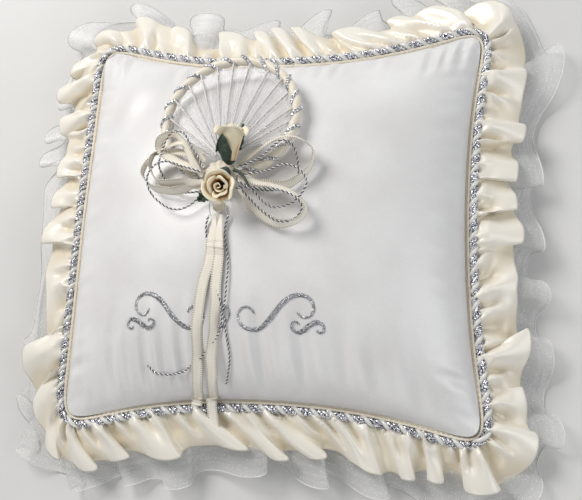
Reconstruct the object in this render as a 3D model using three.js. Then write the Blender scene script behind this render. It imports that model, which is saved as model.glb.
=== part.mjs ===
// Ring bearer pillow: a stuffed satin pillow with a twisted edge cord and two gathered ruffles,
// and on its face a spray (ribbon-wound hoop, pleated fan, two roses and a bow) that is tacked
// down at its foot only. Millimetres. The pillow lies on its back: +Z through its thickness,
// +Y towards its top side, and the origin is the middle of the flat that it rests on.
import * as THREE from "three";

// ---------------------------------------------------------------- driving dimensions

const PANEL = 244; // square panel, seam corner to seam corner
const PULL_IN = { left: 3, right: 12, bottom: 19, top: 24 }; // how far each side curves inwards
const PULL_POWER = 2.2; // shape of that curve along a side
const CORNER_SHAPE = 16; // exponent of the superellipse that rounds the seam's corners
const CROWN_Z = 75; // top of the crowned face
const SEAM_Z = 30; // height of the seam at the middle of a side
const CORNER_DROP = 8; // the seam is this much lower at the corners
const CROWN_POWER = 0.6; // fullness of the crown
const BACK_DEPTH = 33; // how deep the back would bulge below its seam if it rested on nothing
const BACK_SEAM_DROP = 6.6; // the back panel's edge is below all the trims caught in the seam
const SEAM_STEPS = 40; // corners of the faceted outline that the panels and trims share
const FABRIC = 0.8; // wall of the panels, measured straight down
const GAP = 0.3; // room between touching pieces

const CORD_R = 2.5; // twisted edge cord
const CORD_OUT = 4.5; // its centre, outside the seam line
const CORD_UP = 1.4; // and above it
const SATIN_REACH = 28; // ruffles, from the seam line outwards
const ORGANZA_REACH = 42;

const HOOP_R = 38; // centre line of a 3 inch craft hoop
const HOOP_WIRE_R = 1.5;
const HOOP_WRAP_R = 2.4; // outside of the ribbon that is wound round it
const HOOP_TURNS = 20; // turns of the silver cord round it
const HOOP_CENTRE = [-18, 48.5, 73];
const HOOP_TILT = [-10, -3].map(THREE.MathUtils.degToRad); // it lies along the falling crown
const FAN_PLEATS = 14;

const RIBBON = 6; // ribbon width
const RIBBON_THICK = 0.4;
const SILVER_R = 0.55; // silver cord
const WINDING_R = 0.45; // the same cord pulled tight round the hoop

// Routes of the free ribbons and cords, one point after another along each.
const RIBBON_LOOPS = {
  bow_loop_left_front: [
    [-26.5, 15.2, 84.8], [-30, 19.5, 83.8], [-35.5, 23, 83.4], [-41, 24.5, 83.4], [-47, 25.5, 82.8],
    [-53, 25.5, 81.5], [-58.5, 24.5, 79.5], [-62.5, 20.5, 78.5], [-64.5, 15, 78], [-61, 9.5, 78.5],
    [-56.5, 6, 79], [-50.5, 4.5, 80], [-44.5, 3.5, 81], [-38.5, 4.5, 81.5], [-33, 6, 82],
    [-27, 4, 82.5],
  ],
  bow_loop_left_back: [
    [-26.5, 18.5, 85], [-30, 22.5, 85.5], [-34, 26, 86], [-39, 29, 86], [-44, 29, 85.4],
    [-49, 27, 84.9], [-54, 25.5, 84], [-58, 22.5, 82.4], [-59, 17.5, 81.4], [-56.5, 12.5, 81.5],
    [-53, 8.5, 82], [-48, 7.5, 83], [-42.5, 7.5, 83.5], [-37, 7.5, 84], [-32, 7, 85], [-26.5, 7.5, 85],
  ],
  bow_loop_left_small: [
    [-26.5, 12.5, 85], [-31.5, 14, 86], [-36, 15.5, 86.5], [-40.5, 17.5, 86.5], [-45, 20, 86.2],
    [-49, 22.5, 86.2], [-52.5, 26, 86], [-53, 31, 85.8], [-49, 33.5, 86.2], [-44, 33.5, 87],
    [-40, 30.5, 87.5], [-37, 26.5, 88], [-34.5, 22, 88], [-32.5, 18, 88], [-29.5, 13.5, 87.5],
    [-26.5, 9.8, 86.4],
  ],
  bow_loop_right_upper: [
    [-7.5, 16, 85], [-2.5, 20, 86], [3, 24, 86.5], [8, 27.5, 87], [14, 30.5, 87],
    [20.5, 31.5, 85.5], [26, 30, 83.5], [31, 26, 81.5], [31, 20.5, 79.5], [28, 14.5, 79],
    [23, 10, 79], [18, 7, 79.5], [11.5, 7, 80.5], [5, 7, 81.5], [-1.5, 7.5, 83.5], [-7.5, 8.5, 85],
  ],
  bow_loop_right_lower: [
    [-7.5, 12, 85.5], [-2.5, 9, 85.5], [3, 6.5, 85], [9, 5.5, 84.5], [15, 4, 84],
    [20.5, 2, 83.5], [25.5, -1, 82.5], [29, -6.5, 81.5], [27, -11.5, 81], [21.5, -14, 80.5],
    [15.5, -14.5, 80.5], [10, -12.5, 80.5], [5, -9.5, 81], [0, -5.5, 81], [-3.5, -0.5, 81.5],
    [-7, 4, 82.5],
  ],
};
const SILVER_LOOPS = {
  silver_loop_left_lower: [
    [-26.5, 11.5, 88.4], [-32, 13, 89.6], [-37, 14.5, 89.4], [-42, 16.5, 88.6], [-47.5, 18, 87.8],
    [-52.5, 17.5, 86.6], [-57, 15, 84.4], [-59.5, 10.5, 82.6], [-58.5, 5, 81], [-55.5, 0.5, 79.2],
    [-51, -3, 78.2], [-46, -5.5, 78], [-40.5, -6, 78.5], [-35, -4, 79], [-31, -1, 79.5],
    [-26.5, 1, 80.6],
  ],
  silver_loop_left_upper: [
    [-26.5, 14.8, 88.2], [-29, 19.5, 89.8], [-32, 24, 90], [-35, 29, 90], [-38.5, 33.5, 89.4],
    [-44, 34.5, 88.8], [-48, 31, 88], [-49.5, 25.5, 88], [-51.2, 20.3, 87.3], [-52.6, 16.8, 84],
    [-52, 13, 79], [-49.5, 9, 76.5], [-45, 6, 76.5], [-40, 4, 77], [-34, 3.6, 78.2], [-28.5, 4, 79.4],
  ],
  silver_loop_right_upper: [
    [-7.5, 14.5, 87], [-2, 16, 88], [3, 18, 88.5], [8, 21.5, 89], [12, 25.5, 89], [16.5, 28.5, 88.5],
    [21, 27, 86], [23, 22, 82.4], [23.5, 16.5, 78.8], [23, 11.5, 76.8], [20, 7, 76.6],
    [14.5, 5.5, 76.8], [9, 4.5, 77.4], [3, 4.5, 78.4], [-2.5, 5, 79.6], [-8, 6, 80.8],
  ],
  silver_loop_right_outer: [
    [-7.5, 10, 87], [-1.5, 10.5, 87.5], [4.5, 11.5, 87.5], [10.5, 12.5, 88], [16, 15.5, 87],
    [22, 15, 86], [27, 12, 84.5], [29.5, 6.5, 84.5], [27.5, 1, 84.5], [23.5, -3.5, 84], [18, -6, 83.5],
    [12, -6.5, 83.5], [6.5, -3.5, 83.5], [2.5, 1, 84.2], [-2.5, 4.5, 85.6], [-7.5, 7, 87.2],
  ],
  silver_loop_right_lower: [
    [-7.5, 5, 85], [-3.5, 1, 84], [0.5, -3, 83.5], [4.5, -7, 83], [9, -10.5, 82.6], [14, -13.5, 82.4],
    [19.5, -14, 82.4], [25, -11.5, 82.8], [27.5, -6.5, 83.6], [24.5, -2, 85.6], [19.5, 0.5, 86.6],
    [14, 2, 87.2], [8.5, 2.5, 87.5], [2.5, 2.8, 87.6], [-2.5, 3, 87.4], [-7.5, 3, 86.8],
  ],
};
const RIBBON_TAILS = {
  ribbon_tail_left: [
    [-21, -8.5, 77.6], [-21, -15.5, 77.3], [-22, -22, 76.7], [-22.6, -29, 76], [-23.6, -35.4, 75.1],
    [-25.7, -41.9, 73.8], [-27.2, -48.4, 72.3], [-28.3, -54.8, 70.4], [-29.5, -61.3, 68.3],
    [-30.6, -67.8, 65.7], [-30.8, -74.2, 62.8], [-31, -80.7, 59.4], [-31.8, -86.7, 55.5],
    [-32.7, -92.6, 50.9], [-34, -97.6, 45.4], [-35.4, -102.5, 39.4], [-36.4, -107.3, 34.6],
  ],
  ribbon_tail_right: [
    [-17, -9, 78.6], [-17.5, -16.5, 78.6], [-17.5, -24, 77.8], [-18.1, -31.9, 77], [-18.6, -39.4, 75.6],
    [-19.2, -47.4, 73.7], [-19.3, -54.8, 71.3], [-20.5, -62.3, 68.5], [-21.1, -69.2, 65.6],
    [-22.3, -76.7, 62], [-23.6, -83.7, 57.8], [-23.9, -90.1, 52.8], [-25.5, -96.6, 46.5],
    [-27, -102, 39.9], [-27.7, -107.6, 34.9], [-27.6, -114, 30.8], [-27.4, -120.8, 26.8],
  ],
};
const SILVER_TAILS = {
  silver_tail_left: [
    [-24.5, -9, 77.2], [-26, -14, 75.4], [-25.5, -19.5, 75.1], [-24.5, -25.5, 74.7], [-23.1, -31.4, 74.1],
    [-21.6, -36.9, 73.2], [-20.2, -42.4, 72.2], [-18.7, -48.4, 71.1], [-16.8, -53.8, 69.7],
    [-15.4, -59.3, 68], [-14.5, -64.8, 66], [-14.1, -70.2, 63.7], [-13.3, -75.7, 61],
    [-12.9, -81.2, 57.9], [-13.6, -86.1, 54.4], [-15.4, -91.1, 50.4], [-17.3, -95.6, 45.9],
  ],
  silver_tail_right: [
    [-13.5, -9, 77.6], [-15, -16, 76.3], [-14.5, -23.5, 75.2], [-13.1, -30.4, 74.6], [-12.6, -37.9, 73.5],
    [-13.2, -45.4, 72.4], [-13.8, -52.8, 71.2], [-15.4, -59.8, 69.2], [-17, -66.8, 65.8],
    [-20.2, -72.7, 62.4], [-24.4, -78.2, 59.4], [-29.6, -83.2, 56.3], [-35.3, -87.2, 53.1],
    [-42, -90.7, 50.3], [-49.1, -92.2, 48.8], [-56.5, -91.7, 49], [-61.8, -87.7, 51.4],
  ],
};

// ---------------------------------------------------------------- materials

const material = (color, roughness, metalness = 0) =>
  new THREE.MeshStandardMaterial({ color, roughness, metalness });
const SATIN_WHITE = material(0xf1f2f1, 0.4);
const SATIN_IVORY = material(0xefe6cf, 0.4);
const TAPE_CREAM = material(0xe6d9ba, 0.8);
const FIBRE = material(0xf6f6f4, 1);
const ORGANZA = material(0xeef0ef, 0.5);
const RIBBON_CREAM = material(0xe8dfcb, 0.5);
const SILVER = material(0xb4b8be, 0.3, 1);
const CORD_WHITE = material(0xe3e5e8, 0.4, 0.2);
const WOOD = material(0xd6bd92, 0.7);
const PAPER_ROSE = material(0xf0e2b6, 0.7);
const LEAF_GREEN = material(0x35423a, 0.8);
const THREAD_WHITE = material(0xefeee9, 0.8);

// ---------------------------------------------------------------- helpers

const UP = new THREE.Vector3(0, 0, 1);
const vec = (x, y, z) => new THREE.Vector3(x, y, z);
const pillow = new THREE.Group(); // stays put
const spray = new THREE.Group(); // lifts about its foot

function add(group, name, geometry, look) {
  const mesh = new THREE.Mesh(geometry, look);
  mesh.name = name;
  group.add(mesh);
  return mesh;
}

// A closed solid from corner points and triangles, with its faces turned outwards.
function solid(points, triangles) {
  const volume = triangles.reduce(
    (sum, [a, b, c]) => sum + points[a].dot(points[b].clone().cross(points[c])), 0);
  const outwards = volume < 0 ? triangles.map(([a, b, c]) => [a, c, b]) : triangles;
  const geometry = new THREE.BufferGeometry().setFromPoints(points);
  geometry.setIndex(outwards.flat());
  geometry.computeVertexNormals();
  return geometry;
}

// Triangles between two rows of n points that start at a and b; closed rows join end to start.
function strip(a, b, n, closed) {
  const faces = [];
  for (let i = 0; i < (closed ? n : n - 1); i++) {
    const j = (i + 1) % n;
    faces.push([a + i, b + i, b + j], [a + i, b + j, a + j]);
  }
  return faces;
}

// A bar through a list of equal outlines; it closes on itself, or gets a cap at each end.
function loft(outlines, closed) {
  const n = outlines[0].length;
  const faces = [];
  const last = closed ? outlines.length : outlines.length - 1;
  for (let k = 0; k < last; k++)
    faces.push(...strip(k * n, ((k + 1) % outlines.length) * n, n, true));
  const end = (outlines.length - 1) * n;
  for (let i = 1; !closed && i < n - 1; i++)
    faces.push([0, i, i + 1], [end, end + i + 1, end + i]);
  return solid(outlines.flat(), faces);
}

// A thick sheet over a grid of points, thickened along the grid's own normals.
function sheet(surface, across, along, thickness) {
  const top = [];
  const under = [];
  const step = 1e-3;
  for (let i = 0; i <= across; i++)
    for (let j = 0; j <= along; j++) {
      const u = i / across, v = j / along;
      const du = surface(u + step, v).sub(surface(u - step, v));
      const dv = surface(u, v + step).sub(surface(u, v - step));
      const normal = du.cross(dv).normalize().multiplyScalar(thickness / 2);
      const p = surface(u, v);
      top.push(p.clone().add(normal));
      under.push(p.sub(normal));
    }
  const n = along + 1;
  const faces = [];
  const base = top.length;
  for (let i = 0; i < across; i++) {
    faces.push(...strip(i * n, (i + 1) * n, n, false));
    faces.push(...strip(base + i * n, base + (i + 1) * n, n, false).map(([a, b, c]) => [a, c, b]));
  }
  const edge = [];
  for (let i = 0; i < across; i++) edge.push(i * n);
  for (let j = 0; j < along; j++) edge.push(across * n + j);
  for (let i = across; i > 0; i--) edge.push(i * n + along);
  for (let j = along; j > 0; j--) edge.push(j);
  edge.forEach((a, k) => {
    const b = edge[(k + 1) % edge.length];
    faces.push([a, base + b, b], [a, base + a, base + b]);
  });
  return solid([...top, ...under], faces);
}

const curveOf = (points) =>
  new THREE.CatmullRomCurve3(points.map((p) => vec(...p)), false, "centripetal");

// A round tube along a curve.
function tube(curve, radius, sides, steps) {
  const circle = new THREE.Shape();
  for (let i = 0; i < sides; i++) {
    const angle = (i / sides) * 2 * Math.PI;
    const [x, y] = [radius * Math.cos(angle), radius * Math.sin(angle)];
    if (i) circle.lineTo(x, y);
    else circle.moveTo(x, y);
  }
  return new THREE.ExtrudeGeometry(circle, { steps, extrudePath: curve, bevelEnabled: false });
}

// A flat band along a curve, lying across a given "up"; width is a function of 0 to 1 along it.
function band(curve, width, thickness, steps, upAt = () => UP) {
  const points = curve.getSpacedPoints(steps);
  return loft(points.map((p, i) => {
    const before = points[Math.max(i - 1, 0)], after = points[Math.min(i + 1, steps)];
    const tangent = after.clone().sub(before).normalize();
    const side = upAt(p).clone().cross(tangent).normalize();
    const normal = tangent.clone().cross(side).multiplyScalar(thickness / 2);
    side.multiplyScalar(width(i / steps) / 2);
    return [[1, 1], [1, -1], [-1, -1], [-1, 1]].map(([s, t]) =>
      p.clone().addScaledVector(side, s).addScaledVector(normal, t));
  }), false);
}

// ---------------------------------------------------------------- the pillow's form

// u and v run from -1 to 1 over the panel. s is 1 at the middle of a side and 0 at its corners.
const s = (t) => 1 - Math.abs(t) ** PULL_POWER;

function plan(u, v) {
  const left = -PANEL / 2 + PULL_IN.left * s(v), right = PANEL / 2 - PULL_IN.right * s(v);
  const bottom = -PANEL / 2 + PULL_IN.bottom * s(u), top = PANEL / 2 - PULL_IN.top * s(u);
  return [
    THREE.MathUtils.lerp(left, right, (u + 1) / 2),
    THREE.MathUtils.lerp(bottom, top, (v + 1) / 2),
  ];
}

const seamZ = (u, v) => SEAM_Z - CORNER_DROP * Math.abs(u * v) ** 1.6;
const fullness = (u, v) => (Math.max(0, s(u)) * Math.max(0, s(v))) ** CROWN_POWER;
const frontZ = (u, v) => seamZ(u, v) + (CROWN_Z - seamZ(u, v)) * fullness(u, v);
const backZ = (u, v) => Math.max(0, seamZ(u, v) - BACK_SEAM_DROP - BACK_DEPTH * fullness(u, v));

// The seam line: a runs from 0 to 4, one unit a side, anticlockwise from the bottom left corner.
function seamUV(a) {
  const side = Math.floor(((a % 4) + 4) % 4);
  const along = (((a % 4) + 4) % 4) - side;
  const t = 2 * (along - 0.07 * Math.sin(2 * Math.PI * along)) - 1; // closer together at corners
  const [u, v] = [[t, -1], [1, t], [-t, 1], [-1, -t]][side];
  const norm = (Math.abs(u) ** CORNER_SHAPE + Math.abs(v) ** CORNER_SHAPE) ** (1 / CORNER_SHAPE);
  return [u / norm, v / norm];
}

function seamFrame(a) {
  const at = (q) => {
    const [u, v] = seamUV(q);
    return vec(...plan(u, v), seamZ(u, v));
  };
  const tangent = at(a + 0.01).sub(at(a - 0.01)).setZ(0).normalize();
  return { point: at(a), out: vec(tangent.y, -tangent.x, 0) };
}

// A point given as outwards from the seam line and up from it.
function seamPoint(a, [out, up]) {
  const frame = seamFrame(a);
  return frame.point.addScaledVector(frame.out, out).add(vec(0, 0, up));
}

// A ring round the whole seam with one cross-section of [out, up] points.
function seamRing(outline) {
  const outlines = [];
  for (let i = 0; i < SEAM_STEPS; i++)
    outlines.push(outline.map((q) => seamPoint((4 * i) / SEAM_STEPS, q)));
  return loft(outlines, true);
}

// A solid between an upper and a lower height over the panel, out to the fraction reach of it.
function pillowSlab(upper, lower, reach) {
  const rings = [0.25, 0.5, 0.7, 0.84, 0.94, 1].filter((m) => m <= reach);
  const layer = (height) => {
    const points = [vec(...plan(0, 0), height(0, 0))];
    for (const m of rings)
      for (let i = 0; i < SEAM_STEPS; i++) {
        const [u, v] = seamUV((4 * i) / SEAM_STEPS).map((q) => q * m);
        points.push(vec(...plan(u, v), height(u, v)));
      }
    return points;
  };
  const cover = (start) => {
    const faces = [];
    const first = start + 1;
    for (let i = 0; i < SEAM_STEPS; i++) faces.push([start, first + i, first + ((i + 1) % SEAM_STEPS)]);
    for (let k = 0; k < rings.length - 1; k++)
      faces.push(...strip(first + k * SEAM_STEPS, first + (k + 1) * SEAM_STEPS, SEAM_STEPS, true));
    return faces;
  };
  const top = layer(upper), under = layer(lower);
  const rim = 1 + (rings.length - 1) * SEAM_STEPS;
  return solid([...top, ...under], [
    ...cover(0),
    ...cover(top.length).map(([a, b, c]) => [a, c, b]),
    ...strip(rim, top.length + rim, SEAM_STEPS, true),
  ]);
}

// ---------------------------------------------------------------- pillow pieces

function addPillowBody() {
  const inner = FABRIC + 2 * GAP;
  add(pillow, "front_panel", pillowSlab(frontZ, (u, v) => frontZ(u, v) - FABRIC, 1), SATIN_WHITE);
  add(pillow, "back_panel", pillowSlab((u, v) => backZ(u, v) + FABRIC, backZ, 1), SATIN_WHITE);
  add(pillow, "filling", pillowSlab(
    (u, v) => frontZ(u, v) - inner, (u, v) => backZ(u, v) + inner, 0.94), FIBRE);
}

function addTrims() {
  add(pillow, "cord_lip_tape", seamRing([[-3, -1.7], [1.4, -1.7], [1.4, -1.1], [-3, -1.1]]),
    TAPE_CREAM);
  const route = [];
  const ends = [0.435, 4.415]; // the cord's two ends meet on the bottom side, behind the tails
  for (let i = 0; i <= 64; i++)
    route.push(seamPoint(THREE.MathUtils.lerp(...ends, i / 64), [CORD_OUT, CORD_UP]));
  const path = new THREE.CatmullRomCurve3(route, false, "centripetal");
  add(pillow, "edge_cord", tube(path, CORD_R, 6, 64), CORD_WHITE);
  add(pillow, "satin_ruffle", seamRing([
    [-3, -2.8], [1.5, -2.8], [10, -5], [SATIN_REACH - 3, -12], [SATIN_REACH, -10.5], [16, -3.2], [7, -1.8],
    [-3, -2],
  ]), SATIN_IVORY);
  const hem = [-20.4, -19.6];
  add(pillow, "organza_ruffle", seamRing([
    [-3, -3.7], [1, -3.7], [14, -8.4], [ORGANZA_REACH - 1, hem[0]], [ORGANZA_REACH - 1, hem[1]], [14, -7.8],
    [1.2, -3.1], [-3, -3.1],
  ]), ORGANZA);
  const hemStart = ORGANZA_REACH - 1 + GAP;
  add(pillow, "organza_hem_thread", seamRing([
    [hemStart, hem[0]], [ORGANZA_REACH, hem[0]], [ORGANZA_REACH, hem[1]], [hemStart, hem[1]],
  ]), THREAD_WHITE);
}

// Scrolls stitched in silver thread. Each is an S whose curl tightens evenly towards both ends.
const SCROLLS = {
  scroll_left_large: { at: [-47, -59], size: 40, turn: -52, curl: 5.4, mirror: 1 },
  scroll_right_large: { at: [13, -59], size: 40, turn: -52, curl: 5.4, mirror: -1 },
  scroll_left_small: { at: [-64, -66], size: 16, turn: -38, curl: 5, mirror: 1 },
  scroll_right_small: { at: [30, -66], size: 16, turn: -38, curl: 5, mirror: -1 },
};

// The face of the panel over a point of the plan, and its height there.
function onFace(x, y, lift) {
  let u = 0, v = 0;
  for (let k = 0; k < 20; k++) {
    const [px, py] = plan(u, v);
    u += (x - px) / (PANEL / 2);
    v += (y - py) / (PANEL / 2);
  }
  return vec(x, y, frontZ(u, v) + lift);
}

function scrollCurve({ at, size, turn, curl, mirror }) {
  const steps = 40, angle0 = THREE.MathUtils.degToRad(turn);
  const half = [[0, 0]];
  let [x, y] = [0, 0];
  for (let i = 0; i < steps; i++) {
    const t = (i + 0.5) / steps;
    const heading = angle0 + curl * t * t;
    x += (Math.cos(heading) * size) / steps;
    y += (Math.sin(heading) * size) / steps;
    half.push([x, y]);
  }
  const whole = [...half.slice(1).reverse().map(([a, b]) => [-a, -b]), ...half];
  return new THREE.CatmullRomCurve3(whole.map(([a, b]) => onFace(at[0] + mirror * a, at[1] + b, 0.45)));
}

function heartCurve() {
  const points = [];
  for (let i = 0; i <= 28; i++) {
    const t = Math.PI * (0.04 + (1.92 * i) / 28) + Math.PI;
    const x = 13 * Math.sin(t) - 0.8 * Math.sin(3 * t); // rounded at the notch and the tip
    const y = 13 * Math.cos(t) - 5 * Math.cos(2 * t) - 2 * Math.cos(3 * t) - Math.cos(4 * t);
    points.push(onFace(-17 + 0.36 * x, -61 + 0.36 * y, 0.45));
  }
  return new THREE.CatmullRomCurve3(points);
}

function addEmbroidery() {
  const swell = (t) => 0.7 + 1.3 * Math.sin(Math.PI * t) ** 2; // thin ends, thick middle
  for (const [name, shape] of Object.entries(SCROLLS))
    add(pillow, name, band(scrollCurve(shape), swell, 0.4, 20), SILVER);
  add(pillow, "scroll_heart", band(heartCurve(), () => 1, 0.4, 24), SILVER);
}

// The tails come out of one flat knot, and two thread tacks hold it to the panel.
function addTailKnot() {
  const knot = add(pillow, "tail_knot", new THREE.SphereGeometry(1, 10, 6), RIBBON_CREAM);
  knot.scale.set(6, 4, 1.7);
  knot.position.set(-19, -4, 77.6);
  for (const [name, x] of [["tack_stitch_left", -23.4], ["tack_stitch_right", -14.6]]) {
    const arch = [];
    for (let i = 0; i <= 10; i++) {
      const angle = (Math.PI * i) / 10;
      arch.push([x, -4 + 5 * Math.cos(angle), 75.4 + 4.9 * Math.sin(angle)]);
    }
    add(pillow, name, tube(curveOf(arch), 0.3, 6, 10), THREAD_WHITE);
  }
}

// ---------------------------------------------------------------- ribbons and cords

// A ribbon is pinched where it goes into a knot.
const pinched = (ends) => (t) => {
  const fromEnd = Math.min(t, ends === 2 ? 1 - t : 1);
  return THREE.MathUtils.lerp(2.2, RIBBON, THREE.MathUtils.smoothstep(fromEnd, 0, 0.16));
};

function addRibbonsAndCords() {
  for (const [name, route] of Object.entries(RIBBON_LOOPS))
    add(spray, name, band(curveOf(route), pinched(2), RIBBON_THICK, 22), RIBBON_CREAM);
  for (const [name, route] of Object.entries(RIBBON_TAILS))
    add(pillow, name, band(curveOf(route), pinched(1), RIBBON_THICK, 20), RIBBON_CREAM);
  for (const [name, route] of Object.entries(SILVER_LOOPS))
    add(spray, name, tube(curveOf(route), SILVER_R, 8, 24), SILVER);
  for (const [name, route] of Object.entries(SILVER_TAILS))
    add(pillow, name, tube(curveOf(route), SILVER_R, 8, 24), SILVER);
}

// ---------------------------------------------------------------- hoop and fan

const hoop = new THREE.Group(); // its own plane is XY, its centre the hoop's
hoop.position.set(...HOOP_CENTRE);
hoop.rotation.set(...HOOP_TILT, 0);
spray.add(hoop);

const around = (angle, r, z) => vec(r * Math.sin(angle), -r * Math.cos(angle), z);

function addHoop() {
  add(hoop, "hoop_ring", new THREE.TorusGeometry(HOOP_R, HOOP_WIRE_R, 6, 32), WOOD);
  // The wound ribbon: a sleeve round the ring, open in a narrow line along its underside.
  const inner = HOOP_WIRE_R + GAP;
  const section = [];
  const opening = 0.35, sides = 5, steps = 32;
  for (let i = 0; i <= sides; i++)
    section.push([HOOP_WRAP_R, THREE.MathUtils.lerp(opening, 2 * Math.PI - opening, i / sides)]);
  for (let i = sides; i >= 0; i--)
    section.push([inner + 0.1, THREE.MathUtils.lerp(opening, 2 * Math.PI - opening, i / sides)]);
  const outlines = [];
  for (let k = 0; k < steps; k++)
    outlines.push(section.map(([r, a]) =>
      around((2 * Math.PI * k) / steps, HOOP_R + r * Math.sin(a), -r * Math.cos(a))));
  add(hoop, "hoop_ribbon_wrap", loft(outlines, true), RIBBON_CREAM);
  // The silver cord winds round the sleeve, and starts and ends at the bow.
  const turns = [];
  const start = 0.16, points = HOOP_TURNS * 6;
  for (let i = 0; i <= points; i++) {
    const angle = THREE.MathUtils.lerp(start, 2 * Math.PI - start, i / points);
    const wind = (2 * Math.PI * HOOP_TURNS * i) / points;
    const r = HOOP_WRAP_R + GAP + WINDING_R + 0.15;
    turns.push(around(angle, HOOP_R + r * Math.sin(wind), -r * Math.cos(wind)));
  }
  add(hoop, "hoop_silver_winding",
    tube(new THREE.CatmullRomCurve3(turns), WINDING_R, 4, points), SILVER);
}

// One sheer sheet, pleated from the hoop down to the bow at the foot of the hoop.
function addFan() {
  const foot = vec(0, -29, 1.2);
  const arc = 1.12; // the rim leaves out this much of the hoop on each side of the foot
  const rimR = HOOP_R - HOOP_WRAP_R - 2 * WINDING_R - 2 * GAP;
  const fan = (u, v) => {
    const angle = THREE.MathUtils.lerp(arc, 2 * Math.PI - arc, u);
    const rim = around(angle, rimR, 0);
    const p = foot.clone().lerp(rim, 0.12 + 0.88 * v);
    const pleat = Math.abs(((u * FAN_PLEATS) % 1) - 0.5) * 2 - 0.5; // zigzag
    return p.add(vec(0, 0, 0.2 + pleat * 1.2 * (0.5 + 0.5 * v)));
  };
  add(hoop, "fan_pleats", sheet(fan, 2 * FAN_PLEATS, 3, 0.25), ORGANZA);
}

// ---------------------------------------------------------------- bow centre and roses

function addBowCentre() {
  const outline = new THREE.Shape();
  outline.absellipse(0, 0, 8.8, 7.6, 0, 2 * Math.PI);
  const centre = add(spray, "bow_centre",
    new THREE.ExtrudeGeometry(outline, { depth: 2.2, bevelEnabled: false, curveSegments: 5 }),
    RIBBON_CREAM);
  centre.position.set(-17, 11.6, 84);
  const binding = add(spray, "floral_tape_binding", new THREE.SphereGeometry(1, 8, 6), LEAF_GREEN);
  binding.scale.set(3.2, 2.5, 2);
  binding.position.set(-13.6, 11.2, 88.8);
  add(spray, "rose_stem_wire",
    tube(curveOf([[-8.8, 12.2, 88.9], [-5.5, 10.8, 89.6], [-2.6, 7.5, 90], [0.4, 2.6, 89.5]]),
      0.8, 6, 8), LEAF_GREEN);
}

// A group at the base of a flower head, whose own +Y is the head's axis.
function flower(base, axis) {
  const group = new THREE.Group();
  group.position.set(...base);
  group.quaternion.setFromUnitVectors(vec(0, 1, 0), vec(...axis).normalize());
  spray.add(group);
  return group;
}

const lathe = (profile, segments) =>
  new THREE.LatheGeometry(profile.map(([r, h]) => new THREE.Vector2(r, h)), segments);

// A petal is a piece of a cup: it covers an angle, and its rim rolls outwards.
function petal({ angle, span, foot, belly, rim, height, thickness }) {
  return sheet((u, v) => {
    const a = angle + span * (u - 0.5);
    const r = THREE.MathUtils.lerp(foot, belly, Math.sin(Math.min(v, 1) * 1.35)) + (rim - belly) * v ** 4;
    const h = height * v * (1 - 0.22 * (2 * u - 1) ** 2 * v);
    return vec(r * Math.sin(a), 0.4 + h, r * Math.cos(a));
  }, 5, 3, thickness);
}

function leaf(from, to, width, thickness) {
  const start = vec(...from), line = vec(...to).sub(start);
  const side = UP.clone().cross(line).normalize();
  return sheet((u, v) => {
    const half = 0.2 + width / 2 * Math.sin(Math.PI * Math.min(0.97, 0.1 + 0.87 * v)) ** 0.8;
    return start.clone().addScaledVector(line, v).addScaledVector(side, (2 * u - 1) * half)
      .add(vec(0, 0, 0.8 * Math.abs(2 * u - 1)));
  }, 2, 5, thickness);
}

function addRosebud() {
  const bud = flower([-11.5, 15.4, 88.9], [2, 20, 7.2]);
  add(bud, "bud_heart", lathe(
    [[0, 3], [1.7, 3.4], [3.9, 8], [4.4, 14], [3.3, 19], [1.2, 21.4], [0, 21.6]], 8), PAPER_ROSE);
  const petals = { bud_petal_front: 0.2, bud_petal_left: 4.4, bud_petal_right: 2.3 };
  for (const [name, angle] of Object.entries(petals))
    add(bud, name, petal({
      angle, span: 1.9, foot: 3.2, belly: 6.2, rim: 8.8, height: 19.5, thickness: 0.5,
    }).translate(0, 1.6, 0), PAPER_ROSE);
  add(bud, "bud_calyx", lathe(
    [[0, -0.6], [1.6, 0], [2.8, 1.2], [3, 1.5], [1.4, 1.6], [0, 1.7]], 8), LEAF_GREEN);
  add(bud, "bud_sepal", petal({
    angle: 5.9, span: 1.5, foot: 3.7, belly: 7.4, rim: 7.6, height: 12.5, thickness: 0.45,
  }).translate(0, 1.4, 0), LEAF_GREEN);
  add(spray, "bud_leaf_left", leaf([-14.5, 20.8, 81.2], [-13.6, 38.5, 82.6], 7, 0.4), LEAF_GREEN);
  add(spray, "bud_leaf_right", leaf([-6.4, 20.8, 81.2], [-6.2, 39, 82.6], 6, 0.4), LEAF_GREEN);
}

function addOpenRose() {
  const rose = flower([-15, 3.6, 87.4], [0.05, -0.3, 0.95]);
  add(rose, "rose_heart", lathe([[0, 2], [1.4, 2.4], [2.9, 6], [2.6, 9.6], [0.9, 11], [0, 11.1]], 8),
    PAPER_ROSE);
  const whorls = [
    { name: "rose_inner_petal", count: 3, foot: 1.9, belly: 4.8, rim: 6, height: 9.6, first: 0.3 },
    { name: "rose_outer_petal", count: 3, foot: 3, belly: 7.8, rim: 10.6, height: 9.4, first: 1.3 },
  ];
  for (const { name, count, first, ...shape } of whorls)
    for (let k = 0; k < count; k++) {
      const span = (2 * Math.PI) / count - 0.16;
      const angle = first + (2 * Math.PI * k) / count;
      add(rose, `${name}_${k + 1}`, petal({ angle, span, thickness: 0.5, ...shape }), PAPER_ROSE);
    }
  add(rose, "rose_calyx", lathe([[0, -0.9], [1.6, -0.7], [2.4, 0], [0, 0.1]], 8), LEAF_GREEN);
  add(spray, "rose_leaf", leaf([-20.6, 1.6, 87], [-28.2, -3.6, 85.2], 6.5, 0.4), LEAF_GREEN);
}

// ---------------------------------------------------------------- assembly

addPillowBody();
addTrims();
addEmbroidery();
addTailKnot();
addRibbonsAndCords();
addHoop();
addFan();
addBowCentre();
addRosebud();
addOpenRose();

const part = new THREE.Group();
part.add(pillow, spray);

export default part;
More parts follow.
